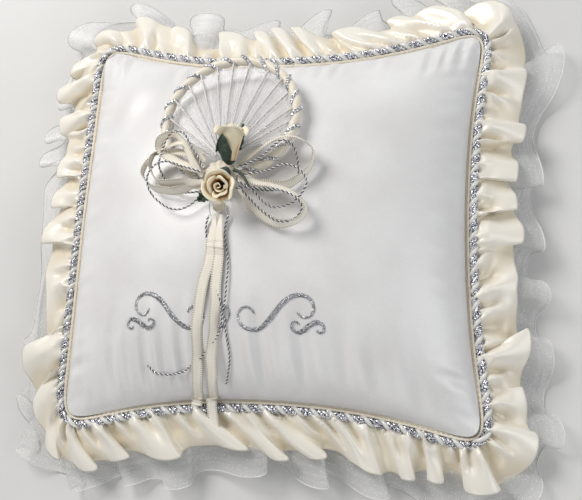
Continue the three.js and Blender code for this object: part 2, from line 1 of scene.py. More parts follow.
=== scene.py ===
"""Ring bearer pillow: the looks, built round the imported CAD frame.

Metres, +Z up, in the CAD's own frame. Every soft piece follows the same form as its CAD solid:
the functions under "form" give the crowned face, the back and the seam line that all trims share.
"""
import math

import bpy
import numpy as np
from mathutils import Matrix, Vector
from mathutils.bvhtree import BVHTree


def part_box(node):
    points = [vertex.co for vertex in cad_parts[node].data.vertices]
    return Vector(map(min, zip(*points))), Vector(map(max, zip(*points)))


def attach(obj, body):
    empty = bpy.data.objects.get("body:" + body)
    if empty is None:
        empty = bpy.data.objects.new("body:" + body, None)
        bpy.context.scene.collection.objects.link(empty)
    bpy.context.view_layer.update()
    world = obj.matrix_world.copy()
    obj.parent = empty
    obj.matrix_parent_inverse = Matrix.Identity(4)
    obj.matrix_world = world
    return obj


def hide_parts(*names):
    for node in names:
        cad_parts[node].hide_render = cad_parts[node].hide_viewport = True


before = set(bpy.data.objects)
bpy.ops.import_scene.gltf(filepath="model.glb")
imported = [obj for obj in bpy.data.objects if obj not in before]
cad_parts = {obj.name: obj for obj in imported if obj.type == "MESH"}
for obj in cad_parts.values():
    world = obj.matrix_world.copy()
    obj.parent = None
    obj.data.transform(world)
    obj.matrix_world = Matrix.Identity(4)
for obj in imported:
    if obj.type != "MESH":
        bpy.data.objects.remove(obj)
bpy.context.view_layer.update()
TAU = 2 * math.pi
MM = 0.001

# ------------------------------------------------------------------ camera, floor and light

CAMERA_AZIMUTH, CAMERA_ELEVATION, CAMERA_ROLL = 42.15, 71.77, 3.3  # degrees
CAMERA_TARGET = Vector((0.0113, -0.0164, 0.030))
CAMERA_DISTANCE = 0.4684


def make_camera():
    """A 50 mm lens; the picture's up is the pillow's top side, turned a little."""
    az, el, roll = map(math.radians, (CAMERA_AZIMUTH, CAMERA_ELEVATION, CAMERA_ROLL))
    back = Vector((math.sin(az) * math.cos(el), -math.cos(az) * math.cos(el), math.sin(el)))
    right = Vector((0, 1, 0)).cross(back).normalized()
    up = back.cross(right)
    right, up = (math.cos(roll) * right + math.sin(roll) * up,
                 math.cos(roll) * up - math.sin(roll) * right)
    data = bpy.data.cameras.new("camera")
    data.lens, data.sensor_width = 50, 36
    data.clip_start, data.clip_end = 0.01, 20
    camera = bpy.data.objects.new("camera", data)
    place = Matrix((right, up, back)).transposed().to_4x4()
    place.translation = CAMERA_TARGET + back * CAMERA_DISTANCE
    camera.matrix_world = place
    bpy.context.scene.collection.objects.link(camera)
    bpy.context.scene.camera = camera


def area_light(name, place, target, size, power, color):
    data = bpy.data.lights.new(name, "AREA")
    data.shape, data.size, data.energy, data.color = "DISK", size, power, color
    light = bpy.data.objects.new(name, data)
    light.location = place
    light.rotation_mode = "QUATERNION"
    light.rotation_quaternion = (Vector(target) - Vector(place)).to_track_quat("-Z", "Y")
    bpy.context.scene.collection.objects.link(light)


def make_studio():
    world = bpy.data.worlds.new("studio")
    bpy.context.scene.world = world
    world.use_nodes = True
    background = world.node_tree.nodes["Background"]
    background.inputs["Color"].default_value = (0.86, 0.87, 0.88, 1)
    background.inputs["Strength"].default_value = 0.26
    area_light("key", (-0.52, 0.46, 0.80), (0, 0, 0.04), 0.50, 8.0, (1.0, 0.975, 0.95))
    area_light("fill", (0.85, -0.15, 0.50), (0, 0, 0.04), 0.7, 2.7, (0.96, 0.98, 1.0))
    area_light("front", (-0.1, -0.85, 0.42), (0, 0, 0.03), 0.6, 1.4, (1.0, 0.98, 0.96))
    area_light("back", (0.2, 0.9, 0.35), (0, 0, 0.03), 0.5, 1.0, (0.95, 0.97, 1.0))
    bpy.context.scene.view_settings.view_transform = "Standard"


# ------------------------------------------------------------------ cords: their facts and routes

RIBBON_WIDTH, RIBBON_THICK = 0.006, 0.00026
SILVER_CORD = 0.0011

RIBBON_LOOPS = {
    "bow_loop_left_front": [
        (-.0265, .0152, .0848), (-.0300, .0195, .0838), (-.0355, .0230, .0834), (-.0410, .0245, .0834),
        (-.0470, .0255, .0828), (-.0530, .0255, .0815), (-.0585, .0245, .0795), (-.0625, .0205, .0785),
        (-.0645, .0150, .0780), (-.0610, .0095, .0785), (-.0565, .0060, .0790), (-.0505, .0045, .0800),
        (-.0445, .0035, .0810), (-.0385, .0045, .0815), (-.0330, .0060, .0820), (-.0270, .0040, .0825)],
    "bow_loop_left_back": [
        (-.0265, .0185, .0850), (-.0300, .0225, .0855), (-.0340, .0260, .0860), (-.0390, .0290, .0860),
        (-.0440, .0290, .0854), (-.0490, .0270, .0849), (-.0540, .0255, .0840), (-.0580, .0225, .0824),
        (-.0590, .0175, .0814), (-.0565, .0125, .0815), (-.0530, .0085, .0820), (-.0480, .0075, .0830),
        (-.0425, .0075, .0835), (-.0370, .0075, .0840), (-.0320, .0070, .0850), (-.0265, .0075, .0850)],
    "bow_loop_left_small": [
        (-.0265, .0125, .0850), (-.0315, .0140, .0860), (-.0360, .0155, .0865), (-.0405, .0175, .0865),
        (-.0450, .0200, .0862), (-.0490, .0225, .0862), (-.0525, .0260, .0860), (-.0530, .0310, .0858),
        (-.0490, .0335, .0862), (-.0440, .0335, .0870), (-.0400, .0305, .0875), (-.0370, .0265, .0880),
        (-.0345, .0220, .0880), (-.0325, .0180, .0880), (-.0295, .0135, .0875), (-.0265, .0098, .0864)],
    "bow_loop_right_upper": [
        (-.0075, .0160, .0850), (-.0025, .0200, .0860), (.0030, .0240, .0865), (.0080, .0275, .0870),
        (.0140, .0305, .0870), (.0205, .0315, .0855), (.0260, .0300, .0835), (.0310, .0260, .0815),
        (.0310, .0205, .0795), (.0280, .0145, .0790), (.0230, .0100, .0790), (.0180, .0070, .0795),
        (.0115, .0070, .0805), (.0050, .0070, .0815), (-.0015, .0075, .0835), (-.0075, .0085, .0850)],
    "bow_loop_right_lower": [
        (-.0075, .0120, .0855), (-.0025, .0090, .0855), (.0030, .0065, .0850), (.0090, .0055, .0845),
        (.0150, .0040, .0840), (.0205, .0020, .0835), (.0255, -.0010, .0825), (.0290, -.0065, .0815),
        (.0270, -.0115, .0810), (.0215, -.0140, .0805), (.0155, -.0145, .0805), (.0100, -.0125, .0805),
        (.0050, -.0095, .0810), (.0000, -.0055, .0810), (-.0035, -.0005, .0815), (-.0070, .0040, .0825)],
}
SILVER_LOOPS = {
    "silver_loop_left_lower": [
        (-.0265, .0115, .0884), (-.0320, .0130, .0896), (-.0370, .0145, .0894), (-.0420, .0165, .0886),
        (-.0475, .0180, .0878), (-.0525, .0175, .0866), (-.0570, .0150, .0844), (-.0595, .0105, .0826),
        (-.0585, .0050, .0810), (-.0555, .0005, .0792), (-.0510, -.0030, .0782), (-.0460, -.0055, .0780),
        (-.0405, -.0060, .0785), (-.0350, -.0040, .0790), (-.0310, -.0010, .0795), (-.0265, .0010, .0806)],
    "silver_loop_left_upper": [
        (-.0265, .0148, .0882), (-.0290, .0195, .0898), (-.0320, .0240, .0900), (-.0350, .0290, .0900),
        (-.0385, .0335, .0894), (-.0440, .0345, .0888), (-.0480, .0310, .0880), (-.0495, .0255, .0880),
        (-.0512, .0203, .0873), (-.0526, .0168, .0840), (-.0520, .0130, .0790), (-.0495, .0090, .0765),
        (-.0450, .0060, .0765), (-.0400, .0040, .0770), (-.0340, .0036, .0782), (-.0285, .0040, .0794)],
    "silver_loop_right_upper": [
        (-.0075, .0145, .0870), (-.0020, .0160, .0880), (.0030, .0180, .0885), (.0080, .0215, .0890),
        (.0120, .0255, .0890), (.0165, .0285, .0885), (.0210, .0270, .0860), (.0230, .0220, .0824),
        (.0235, .0165, .0788), (.0230, .0115, .0768), (.0200, .0070, .0766), (.0145, .0055, .0768),
        (.0090, .0045, .0774), (.0030, .0045, .0784), (-.0025, .0050, .0796), (-.0080, .0060, .0808)],
    "silver_loop_right_outer": [
        (-.0075, .0100, .0870), (-.0015, .0105, .0875), (.0045, .0115, .0875), (.0105, .0125, .0880),
        (.0160, .0155, .0870), (.0220, .0150, .0860), (.0270, .0120, .0845), (.0295, .0065, .0845),
        (.0275, .0010, .0845), (.0235, -.0035, .0840), (.0180, -.0060, .0835), (.0120, -.0065, .0835),
        (.0065, -.0035, .0835), (.0025, .0010, .0842), (-.0025, .0045, .0856), (-.0075, .0070, .0872)],
    "silver_loop_right_lower": [
        (-.0075, .0050, .0850), (-.0035, .0010, .0840), (.0005, -.0030, .0835), (.0045, -.0070, .0830),
        (.0090, -.0105, .0826), (.0140, -.0135, .0824), (.0195, -.0140, .0824), (.0250, -.0115, .0828),
        (.0275, -.0065, .0836), (.0245, -.0020, .0856), (.0195, .0005, .0866), (.0140, .0020, .0872),
        (.0085, .0025, .0875), (.0025, .0028, .0876), (-.0025, .0030, .0874), (-.0075, .0030, .0868)],
}
RIBBON_TAILS = {
    "ribbon_tail_left": [
        (-.0210, -.0085, .0776), (-.0210, -.0155, .0773), (-.0220, -.0220, .0767), (-.0226, -.0290, .0760),
        (-.0236, -.0354, .0751), (-.0257, -.0419, .0738), (-.0272, -.0484, .0723), (-.0283, -.0548, .0704),
        (-.0295, -.0613, .0683), (-.0306, -.0678, .0657), (-.0308, -.0742, .0628), (-.0310, -.0807, .0594),
        (-.0318, -.0867, .0555), (-.0327, -.0926, .0509), (-.0340, -.0976, .0454), (-.0354, -.1025, .0394),
        (-.0364, -.1073, .0346)],
    "ribbon_tail_right": [
        (-.0170, -.0090, .0786), (-.0175, -.0165, .0786), (-.0175, -.0240, .0778), (-.0181, -.0319, .0770),
        (-.0186, -.0394, .0756), (-.0192, -.0474, .0737), (-.0193, -.0548, .0713), (-.0205, -.0623, .0685),
        (-.0211, -.0692, .0656), (-.0223, -.0767, .0620), (-.0236, -.0837, .0578), (-.0239, -.0901, .0528),
        (-.0255, -.0966, .0465), (-.0270, -.1020, .0399), (-.0277, -.1076, .0349), (-.0276, -.1140, .0308),
        (-.0274, -.1208, .0268)],
}
SILVER_TAILS = {
    "silver_tail_left": [
        (-.0245, -.0090, .0772), (-.0260, -.0140, .0754), (-.0255, -.0195, .0751), (-.0245, -.0255, .0747),
        (-.0231, -.0314, .0741), (-.0216, -.0369, .0732), (-.0202, -.0424, .0722), (-.0187, -.0484, .0711),
        (-.0168, -.0538, .0697), (-.0154, -.0593, .0680), (-.0145, -.0648, .0660), (-.0141, -.0702, .0637),
        (-.0133, -.0757, .0610), (-.0129, -.0812, .0579), (-.0136, -.0861, .0544), (-.0154, -.0911, .0504),
        (-.0173, -.0956, .0459)],
    "silver_tail_right": [
        (-.0135, -.0090, .0776), (-.0150, -.0160, .0763), (-.0145, -.0235, .0752), (-.0131, -.0304, .0746),
        (-.0126, -.0379, .0735), (-.0132, -.0454, .0724), (-.0138, -.0528, .0712), (-.0154, -.0598, .0692),
        (-.0170, -.0668, .0658), (-.0202, -.0727, .0624), (-.0244, -.0782, .0594), (-.0296, -.0832, .0563),
        (-.0353, -.0872, .0531), (-.0420, -.0907, .0503), (-.0491, -.0922, .0488), (-.0565, -.0917, .0490),
        (-.0618, -.0877, .0514)],
}

# ------------------------------------------------------------------ helpers


def new_object(name, points, faces, look, uv=None, smooth=True):
    """A mesh object from points, faces and, where given, one uv pair for each point."""
    mesh = bpy.data.meshes.new(name)
    mesh.from_pydata([tuple(map(float, p)) for p in points], [], [tuple(map(int, f)) for f in faces])
    if uv is not None:
        layer = mesh.uv_layers.new(name="UVMap")
        index = np.empty(len(mesh.loops), int)
        mesh.loops.foreach_get("vertex_index", index)
        layer.data.foreach_set("uv", np.asarray(uv, np.float32)[index].ravel())
    mesh.validate()
    mesh.polygons.foreach_set("use_smooth", np.full(len(mesh.polygons), smooth))
    mesh.materials.append(look)
    obj = bpy.data.objects.new(name, mesh)
    bpy.context.scene.collection.objects.link(obj)
    return obj


def place(obj, body, slot, *nodes):
    """The piece rides on a body and stands for CAD nodes, whose parts it hides. The slot is not used."""
    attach(obj, body)
    if nodes:
        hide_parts(*nodes)
    return obj


def grid_faces(rows, columns, start=0, ring_rows=False, ring_columns=False):
    """Quads of a grid of points that is stored row after row; a ring joins its end to its start."""
    i, j = np.meshgrid(np.arange(rows if ring_rows else rows - 1),
                       np.arange(columns if ring_columns else columns - 1), indexing="ij")
    a, b = i * columns, (i + 1) % rows * columns
    c, d = j, (j + 1) % columns
    quads = np.stack([a + c, b + c, b + d, a + d], -1).reshape(-1, 4)
    return [tuple(q) for q in quads + start]


def unit(v):
    return v / np.maximum(np.linalg.norm(v, axis=-1, keepdims=True), 1e-12)


def smooth_line(points, step):
    """A centripetal Catmull-Rom line through the points, with points about step apart."""
    p = np.array(points, float)
    p = np.vstack([2 * p[0] - p[1], p, 2 * p[-1] - p[-2]])
    out = []
    for k in range(1, len(p) - 2):
        knots = np.cumsum([0] + [math.sqrt(np.linalg.norm(p[k + i] - p[k + i - 1])) for i in range(3)])
        t = np.linspace(knots[1], knots[2], 24, endpoint=False)[:, None]

        def mix(a, b, i, j):
            return ((knots[j] - t) * a + (t - knots[i]) * b) / (knots[j] - knots[i])
        q = [mix(p[k - 1 + i], p[k + i], i, i + 1) for i in range(3)]
        q = [mix(q[i], q[i + 1], i, i + 2) for i in range(2)]
        out.append(mix(q[0], q[1], 1, 2))
    line = np.vstack(out + [p[-2:-1]])
    return spaced(line, step)


def spaced(line, step, ring=False):
    """The same line with its points evenly apart."""
    if ring:
        line = np.vstack([line, line[:1]])
    along = np.concatenate([[0], np.cumsum(np.linalg.norm(np.diff(line, axis=0), axis=1))])
    count = max(2, round(along[-1] / step)) + 1
    at = np.linspace(0, along[-1], count)
    if ring:
        at = at[:-1]
    return np.stack([np.interp(at, along, line[:, k]) for k in range(3)], -1)


def frames_along(line, ring=False, first=(0.0, 0.0, 1.0)):
    """Tangent, side and up at each point, turned along the line without twist."""
    ahead = np.roll(line, -1, 0) - np.roll(line, 1, 0)
    if not ring:
        ahead[0], ahead[-1] = line[1] - line[0], line[-1] - line[-2]
    tangent = unit(ahead)
    up = np.empty_like(line)
    current = np.array(first, float)
    for i, t in enumerate(tangent):
        current = current - t * (current @ t)
        current /= np.linalg.norm(current)
        up[i] = current
    if ring:  # what the frame has turned by, going once round, is spread over the whole line
        back = up[-1] - tangent[0] * (up[-1] @ tangent[0])
        back /= np.linalg.norm(back)
        error = math.atan2(np.cross(back, up[0]) @ tangent[0], back @ up[0])
        angle = (np.arange(len(line)) / len(line) * error)[:, None]
        up = up * np.cos(angle) + np.cross(tangent, up) * np.sin(angle)
    return tangent, np.cross(up, tangent), up


def tube_mesh(line, radius, sides, ring=False, section=None):
    """Points and faces of a tube; radius is a number or one for each point of the line.
    section(i, angle) can change the radius round it."""
    _, side, up = frames_along(line, ring)
    angle = np.arange(sides) / sides * TAU
    r = np.broadcast_to(np.asarray(radius, float), len(line))[:, None]
    r = np.broadcast_to(r, (len(line), sides)).copy()
    if section is not None:
        r *= section(np.arange(len(line))[:, None], angle[None, :])
    points = (line[:, None] + r[..., None] * (np.cos(angle)[None, :, None] * side[:, None]
                                              + np.sin(angle)[None, :, None] * up[:, None]))
    faces = grid_faces(len(line), sides, ring_rows=ring, ring_columns=True)
    if not ring:
        last = (len(line) - 1) * sides
        faces += [tuple(range(sides))[::-1], tuple(range(last, last + sides))]
    return points.reshape(-1, 3), faces


def superellipse(u, v, power):
    """1 on the rounded square that the panels follow, and less inside it."""
    return (np.abs(u) ** power + np.abs(v) ** power) ** (1 / power)


def smoothed(values, width):
    """A running mean over an odd number of values, with both ends held."""
    return np.convolve(np.pad(values, width // 2, mode="edge"), np.ones(width) / width, "valid")


def thicken(obj, thickness, offset=0):
    solid = obj.modifiers.new("thick", "SOLIDIFY")
    solid.thickness, solid.offset = thickness, offset


def subdivide(obj):
    finer = obj.modifiers.new("finer", "SUBSURF")
    finer.levels = finer.render_levels = 1


def join(parts):
    """One set of points and faces from several."""
    points, faces, start = [], [], 0
    for p, f in parts:
        points.append(p)
        faces += [tuple(np.asarray(q) + start) for q in f]
        start += len(p)
    return np.vstack(points), faces


def twisted(line, strands, offset, radius, pitch, sides, ring=False, turn=1):
    """Tubes of the strands that lie round a centre line, as in a rope."""
    length = np.linalg.norm(np.diff(line, axis=0), axis=1).sum()
    if ring:
        length += np.linalg.norm(line[0] - line[-1])
    turns = max(1, round(length / pitch))
    _, side, up = frames_along(line, ring)
    along = np.arange(len(line)) / (len(line) if ring else len(line) - 1)
    parts = []
    for k in range(strands):
        angle = (turn * TAU * (turns * along) + TAU * k / strands)[:, None]
        centre = line + offset * (np.cos(angle) * side + np.sin(angle) * up)
        parts.append(tube_mesh(centre, radius, sides, ring))
    return parts


def wave_sum(seed, count, low, high):
    """A smooth function that repeats once in 0 to 1: sines with whole numbers of cycles."""
    rng = np.random.default_rng(seed)
    cycles = rng.integers(low, high + 1, count)
    phase = rng.uniform(0, TAU, count)
    size = rng.uniform(0.5, 1, count)
    size /= np.sqrt((size ** 2).sum() / 2)

    def value(x):
        x = np.asarray(x, float)[..., None]
        return (size * np.sin(TAU * cycles * x + phase)).sum(-1)
    return value


# ------------------------------------------------------------------ form, as the CAD has it

PANEL = 0.244
PULL_IN = {"left": 0.003, "right": 0.012, "bottom": 0.019, "top": 0.024}
PULL_POWER, CORNER_SHAPE, CROWN_POWER = 2.2, 16, 0.6
CROWN_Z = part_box("front_panel")[1].z
SEAM_Z, CORNER_DROP, BACK_DEPTH, BACK_SEAM_DROP = 0.030, 0.008, 0.033, 0.0066
CORD_OUT, CORD_UP = 0.0045, 0.0014


def bulge(t):
    return 1 - np.abs(t) ** PULL_POWER


def plan(u, v):
    half = PANEL / 2
    left, right = -half + PULL_IN["left"] * bulge(v), half - PULL_IN["right"] * bulge(v)
    bottom, top = -half + PULL_IN["bottom"] * bulge(u), half - PULL_IN["top"] * bulge(u)
    return left + (right - left) * (u + 1) / 2, bottom + (top - bottom) * (v + 1) / 2


def seam_height(u, v):
    return SEAM_Z - CORNER_DROP * np.abs(u * v) ** 1.6


def fullness(u, v):
    return (np.maximum(bulge(u), 0) * np.maximum(bulge(v), 0)) ** CROWN_POWER


def front_height(u, v):
    low = seam_height(u, v)
    return low + (CROWN_Z - low) * fullness(u, v)


def back_height(u, v):
    return np.maximum(0, seam_height(u, v) - BACK_SEAM_DROP - BACK_DEPTH * fullness(u, v))


def uv_of(x, y):
    """The panel's u and v at a point of the plan."""
    u, v = np.zeros_like(np.asarray(x, float)), np.zeros_like(np.asarray(y, float))
    for _ in range(20):
        px, py = plan(u, v)
        u, v = u + (x - px) / (PANEL / 2), v + (y - py) / (PANEL / 2)
    return u, v


def seam_uv(a):
    """The seam line: a runs from 0 to 4, a unit a side, anticlockwise from the bottom left."""
    a = np.asarray(a, float) % 4
    side = np.floor(a).astype(int)
    along = a - side
    t = 2 * (along - 0.07 * np.sin(TAU * along)) - 1
    u = np.choose(side, [t, np.ones_like(t), -t, -np.ones_like(t)])
    v = np.choose(side, [-np.ones_like(t), t, np.ones_like(t), -t])
    norm = superellipse(u, v, CORNER_SHAPE)
    return u / norm, v / norm


def seam_at(a):
    """Point of the seam and the direction away from the pillow there, in the plan."""
    def point(q):
        u, v = seam_uv(q)
        return np.stack([*plan(u, v), seam_height(u, v)], -1)
    ahead = point(a + 0.012) - point(a - 0.012)
    ahead[..., 2] = 0
    ahead = unit(ahead)
    return point(a), np.stack([ahead[..., 1], -ahead[..., 0], np.zeros_like(ahead[..., 0])], -1)


def even_seam(count):
    """Values of a for points that are evenly apart along the seam, and the seam's length."""
    a = np.linspace(0, 4, 4001)
    p, _ = seam_at(a)
    along = np.concatenate([[0], np.cumsum(np.linalg.norm(np.diff(p, axis=0), axis=1))])
    return np.interp(np.arange(count) / count * along[-1], along, a), along[-1]


def seam_offset(a, out, up):
    p, away = seam_at(a)
    return p + away * np.asarray(out)[..., None] + np.asarray(up)[..., None] * np.array([0, 0, 1.0])


def seam_ring(count, outline):
    """A ring round the seam with one cross-section of (out, up) points, and its uv in metres."""
    a, length = even_seam(count)
    outline = np.array(outline, float)
    p, away = seam_at(a)
    points = (p[:, None] + away[:, None] * outline[None, :, :1]
              + outline[None, :, 1:] * np.array([0, 0, 1.0]))
    faces = grid_faces(count, len(outline), ring_rows=True, ring_columns=True)
    along = np.repeat(np.arange(count) / count * length, len(outline))
    across = np.tile(np.concatenate([[0], np.cumsum(np.linalg.norm(np.diff(outline, axis=0), axis=1))]),
                     count)
    return points.reshape(-1, 3), faces, np.stack([along, across], -1)


# ------------------------------------------------------------------ materials


class Look:
    """A Principled material that is put together a node at a time."""

    def __init__(self, name, color, roughness, **sockets):
        self.material = bpy.data.materials.new(name)
        self.material.use_nodes = True
        self.tree = self.material.node_tree
        self.shader = self.tree.nodes["Principled BSDF"]
        self.set(Base_Color=(*color, 1), Roughness=roughness, **sockets)
        self.coords = self.tree.nodes.new("ShaderNodeTexCoord")

    def set(self, **sockets):
        for key, value in sockets.items():
            self.shader.inputs[key.replace("_", " ")].default_value = value

    def link(self, source, target):
        self.tree.links.new(source, target)

    def mapped(self, scale, uv=False, turn=(0, 0, 0)):
        node = self.tree.nodes.new("ShaderNodeMapping")
        node.inputs["Scale"].default_value = scale
        node.inputs["Rotation"].default_value = turn
        self.link(self.coords.outputs["UV" if uv else "Object"], node.inputs["Vector"])
        return node.outputs["Vector"]

    def noise(self, scale, detail=2.0, uv=False, rough=0.5):
        node = self.tree.nodes.new("ShaderNodeTexNoise")
        node.inputs["Scale"].default_value = 1
        node.inputs["Detail"].default_value = detail
        node.inputs["Roughness"].default_value = rough
        scale = (scale,) * 3 if not hasattr(scale, "__len__") else scale
        self.link(self.mapped(scale, uv), node.inputs["Vector"])
        return node.outputs["Fac"]

    def cells(self, scale, uv=False):
        node = self.tree.nodes.new("ShaderNodeTexVoronoi")
        node.inputs["Scale"].default_value = 1
        scale = (scale,) * 3 if not hasattr(scale, "__len__") else scale
        self.link(self.mapped(scale, uv), node.inputs["Vector"])
        return node

    def wave(self, scale, direction="X", uv=False, profile="SIN", turn=(0, 0, 0)):
        """Lines; scale is the number of them in a metre."""
        node = self.tree.nodes.new("ShaderNodeTexWave")
        node.bands_direction, node.wave_profile = direction, profile
        node.inputs["Scale"].default_value = TAU / 20
        self.link(self.mapped((scale,) * 3, uv, turn), node.inputs["Vector"])
        return node.outputs["Fac"]

    def math(self, operation, a, b):
        node = self.tree.nodes.new("ShaderNodeMath")
        node.operation = operation
        for value, socket in ((a, node.inputs[0]), (b, node.inputs[1])):
            if isinstance(value, (int, float)):
                socket.default_value = value
            else:
                self.link(value, socket)
        return node.outputs[0]

    def ramp(self, factor, *stops):
        """A colour ramp: stops are (position, colour)."""
        node = self.tree.nodes.new("ShaderNodeValToRGB")
        ramp = node.color_ramp
        while len(ramp.elements) < len(stops):
            ramp.elements.new(0.5)
        for element, (position, color) in zip(ramp.elements, stops):
            element.position = position
            element.color = (*color, 1) if hasattr(color, "__len__") else (color,) * 3 + (1,)
        self.link(factor, node.inputs["Fac"])
        return node.outputs["Color"]

    def color(self, output):
        self.link(output, self.shader.inputs["Base Color"])

    def roughness(self, output):
        self.link(output, self.shader.inputs["Roughness"])

    def bump(self, height, distance, strength=1.0):
        """Bumps; a later call goes on top of an earlier one."""
        node = self.tree.nodes.new("ShaderNodeBump")
        node.inputs["Distance"].default_value = distance
        node.inputs["Strength"].default_value = strength
        self.link(height, node.inputs["Height"])
        socket = self.shader.inputs["Normal"]
        if socket.is_linked:
            self.link(socket.links[0].from_socket, node.inputs["Normal"])
        self.link(node.outputs["Normal"], socket)
        return self

    def attribute(self, name):
        node = self.tree.nodes.new("ShaderNodeAttribute")
        node.attribute_name = name
        return node.outputs["Fac"]


def satin(name, color, shade, roughness, uv=False, metal=0.0, grain_depth=0.00008, gloss=0.8,
          folds=False):
    """Satin: long floats along the warp give fine streaks and a broad, soft gloss. With folds,
    a point attribute paints shade into the colour: painted shade in a valley, 0, up to the full colour on a
    ridge, 1."""
    look = Look(name, color, roughness, Sheen_Weight=0.15, Sheen_Roughness=0.4,
                Specular_IOR_Level=gloss, Metallic=metal)
    floats = look.noise((3200, 420, 420) if not uv else (420, 3200, 1), 2, uv)
    cloud = look.noise(30, 3, uv)
    grain = look.noise(1100, 2, uv)
    tone = look.math("ADD", look.math("MULTIPLY", floats, 0.12),
                     look.math("ADD", look.math("MULTIPLY", cloud, 0.62), look.math("MULTIPLY", grain, 0.26)))
    # Painted shade: with folds, the colour is darkened in the valleys of the folds and next to the seam.
    if folds:
        tone = look.math("ADD", look.math("MULTIPLY", tone, 0.25),
                         look.math("MULTIPLY", look.attribute("painted_shading"), 0.75))
    look.color(look.ramp(tone, (0.3, shade), (0.7, color)))
    look.roughness(look.ramp(cloud, (0.25, roughness * 0.85), (0.75, roughness * 1.15)))
    look.bump(look.wave(2200, "Y" if not uv else "X", uv), 0.00002, 0.3)
    look.bump(grain, grain_depth, 0.35)
    return look.material


def lame(name, light, dark, size=1500, uv=False):
    """Metallic thread: each tiny flat filament's colour is a painted glint or a painted dark reflection, as
    if it caught the light or not.
    """
    look = Look(name, light, 0.22, Metallic=0.92, Specular_IOR_Level=0.6)
    cells = look.cells((size, size, size), uv)
    grey = look.tree.nodes.new("ShaderNodeSeparateColor")
    look.link(cells.outputs["Color"], grey.inputs["Color"])
    # Painted glints and painted dark reflections: the cells' colour runs from dark through the thread's
    # colour to a near-white glint.
    look.color(look.ramp(grey.outputs["Red"], (0.12, dark), (0.5, light), (0.85, (0.95, 0.96, 1.0))))
    look.roughness(look.ramp(grey.outputs["Green"], (0.1, 0.16), (0.9, 0.42)))
    look.bump(cells.outputs["Distance"], 0.00018, 0.8)
    return look.material


def two_tone(name, light, dark):
    """A cord of one bright and one dark ply; the attribute "ply" says which is which."""
    look = Look(name, light, 0.30, Metallic=0.75, Specular_IOR_Level=0.7)
    glitter = look.noise(2600, 2)
    mixed = look.math("ADD", look.math("MULTIPLY", look.attribute("ply"), 0.62),
                      look.math("MULTIPLY", glitter, 0.38))
    look.color(look.ramp(mixed, (0.16, light), (0.42, (0.50, 0.50, 0.52)), (0.72, dark)))
    look.bump(glitter, 0.00012, 0.6)
    return look.material


def woven(name, color, shade, lines, roughness=0.6, uv=True, depth=0.00006):
    """Plain weave: two sets of threads, lines of them in a metre."""
    look = Look(name, color, roughness, Sheen_Weight=0.2, Sheen_Roughness=0.5)
    warp, weft = look.wave(lines, "X", uv), look.wave(lines, "Y", uv)
    weave = look.math("MULTIPLY", warp, weft)
    cloud = look.noise(120, 3, uv)
    look.color(look.ramp(look.math("ADD", look.math("MULTIPLY", weave, 0.35),
                                   look.math("MULTIPLY", cloud, 0.65)), (0.25, shade), (0.75, color)))
    look.bump(weave, depth, 0.6)
    return look.material


def organza(name, color, cover, folds=0.0):
    """Sheer cloth: mostly holes, with crossing threads, soft streaks and small painted glints, a few
    tiny spots made opaque. Where it lies folded on itself, the attribute "cover" makes it denser."""
    look = Look(name, color, 0.36, Sheen_Weight=0.5, Sheen_Roughness=0.3, Specular_IOR_Level=0.9)
    streak = look.noise((40, 420, 1), 2, True)
    cloud = look.noise((30, 30, 1), 2, True)
    threads = look.math("MULTIPLY", look.wave(1700, "X", True), look.wave(1700, "Y", True))
    sparkle = look.cells((2600, 2600, 1), True)
    grey = look.tree.nodes.new("ShaderNodeSeparateColor")
    look.link(sparkle.outputs["Color"], grey.inputs["Color"])
    # Painted glints: a few cells are made opaque and show as small bright spots.
    painted_glint = look.ramp(grey.outputs["Red"], (0.965, 0.0), (0.98, 0.4))
    alpha = look.math("ADD", look.math("MULTIPLY", streak, 0.16), look.math("MULTIPLY", cloud, 0.16))
    alpha = look.math("ADD", alpha, look.math("MULTIPLY", threads, 0.08))
    alpha = look.math("ADD", look.math("ADD", alpha, cover - 0.18), painted_glint)
    if folds:
        alpha = look.math("ADD", alpha, look.math("MULTIPLY", look.attribute("cover"), folds))
    look.link(look.math("MINIMUM", alpha, 1.0), look.shader.inputs["Alpha"])
    look.color(look.ramp(streak, (0.3, tuple(0.86 * c for c in color)), (0.75, color)))
    look.bump(threads, 0.00005, 0.5)
    return look.material


def ribbon_look(name, color, shade, picot):
    """Ribbon: a fine weave, with a dotted picot line along both edges."""
    look = Look(name, color, 0.40, Sheen_Weight=0.2, Sheen_Roughness=0.4, Specular_IOR_Level=0.6)
    weave = look.math("MULTIPLY", look.wave(2600, "X", True), look.wave(2600, "Y", True))
    cloud = look.noise((90, 900, 1), 2, True)
    base = look.math("ADD", look.math("MULTIPLY", weave, 0.3), look.math("MULTIPLY", cloud, 0.7))
    if picot:
        split = look.tree.nodes.new("ShaderNodeSeparateXYZ")
        look.link(look.coords.outputs["UV"], split.inputs["Vector"])
        away = look.math("ABSOLUTE", look.math("SUBTRACT", split.outputs["Y"], RIBBON_WIDTH / 2), 0.0)
        edge = look.math("GREATER_THAN", away, RIBBON_WIDTH / 2 * 0.68)
        dots = look.math("GREATER_THAN", look.wave(800, "X", True), 0.5)
        base = look.math("SUBTRACT", base, look.math("MULTIPLY", look.math("MULTIPLY", edge, dots), 0.9))
    look.color(look.ramp(base, (0.0, tuple(0.55 * c for c in shade)), (0.22, shade), (0.62, color)))
    look.bump(weave, 0.00005, 0.6)
    return look.material


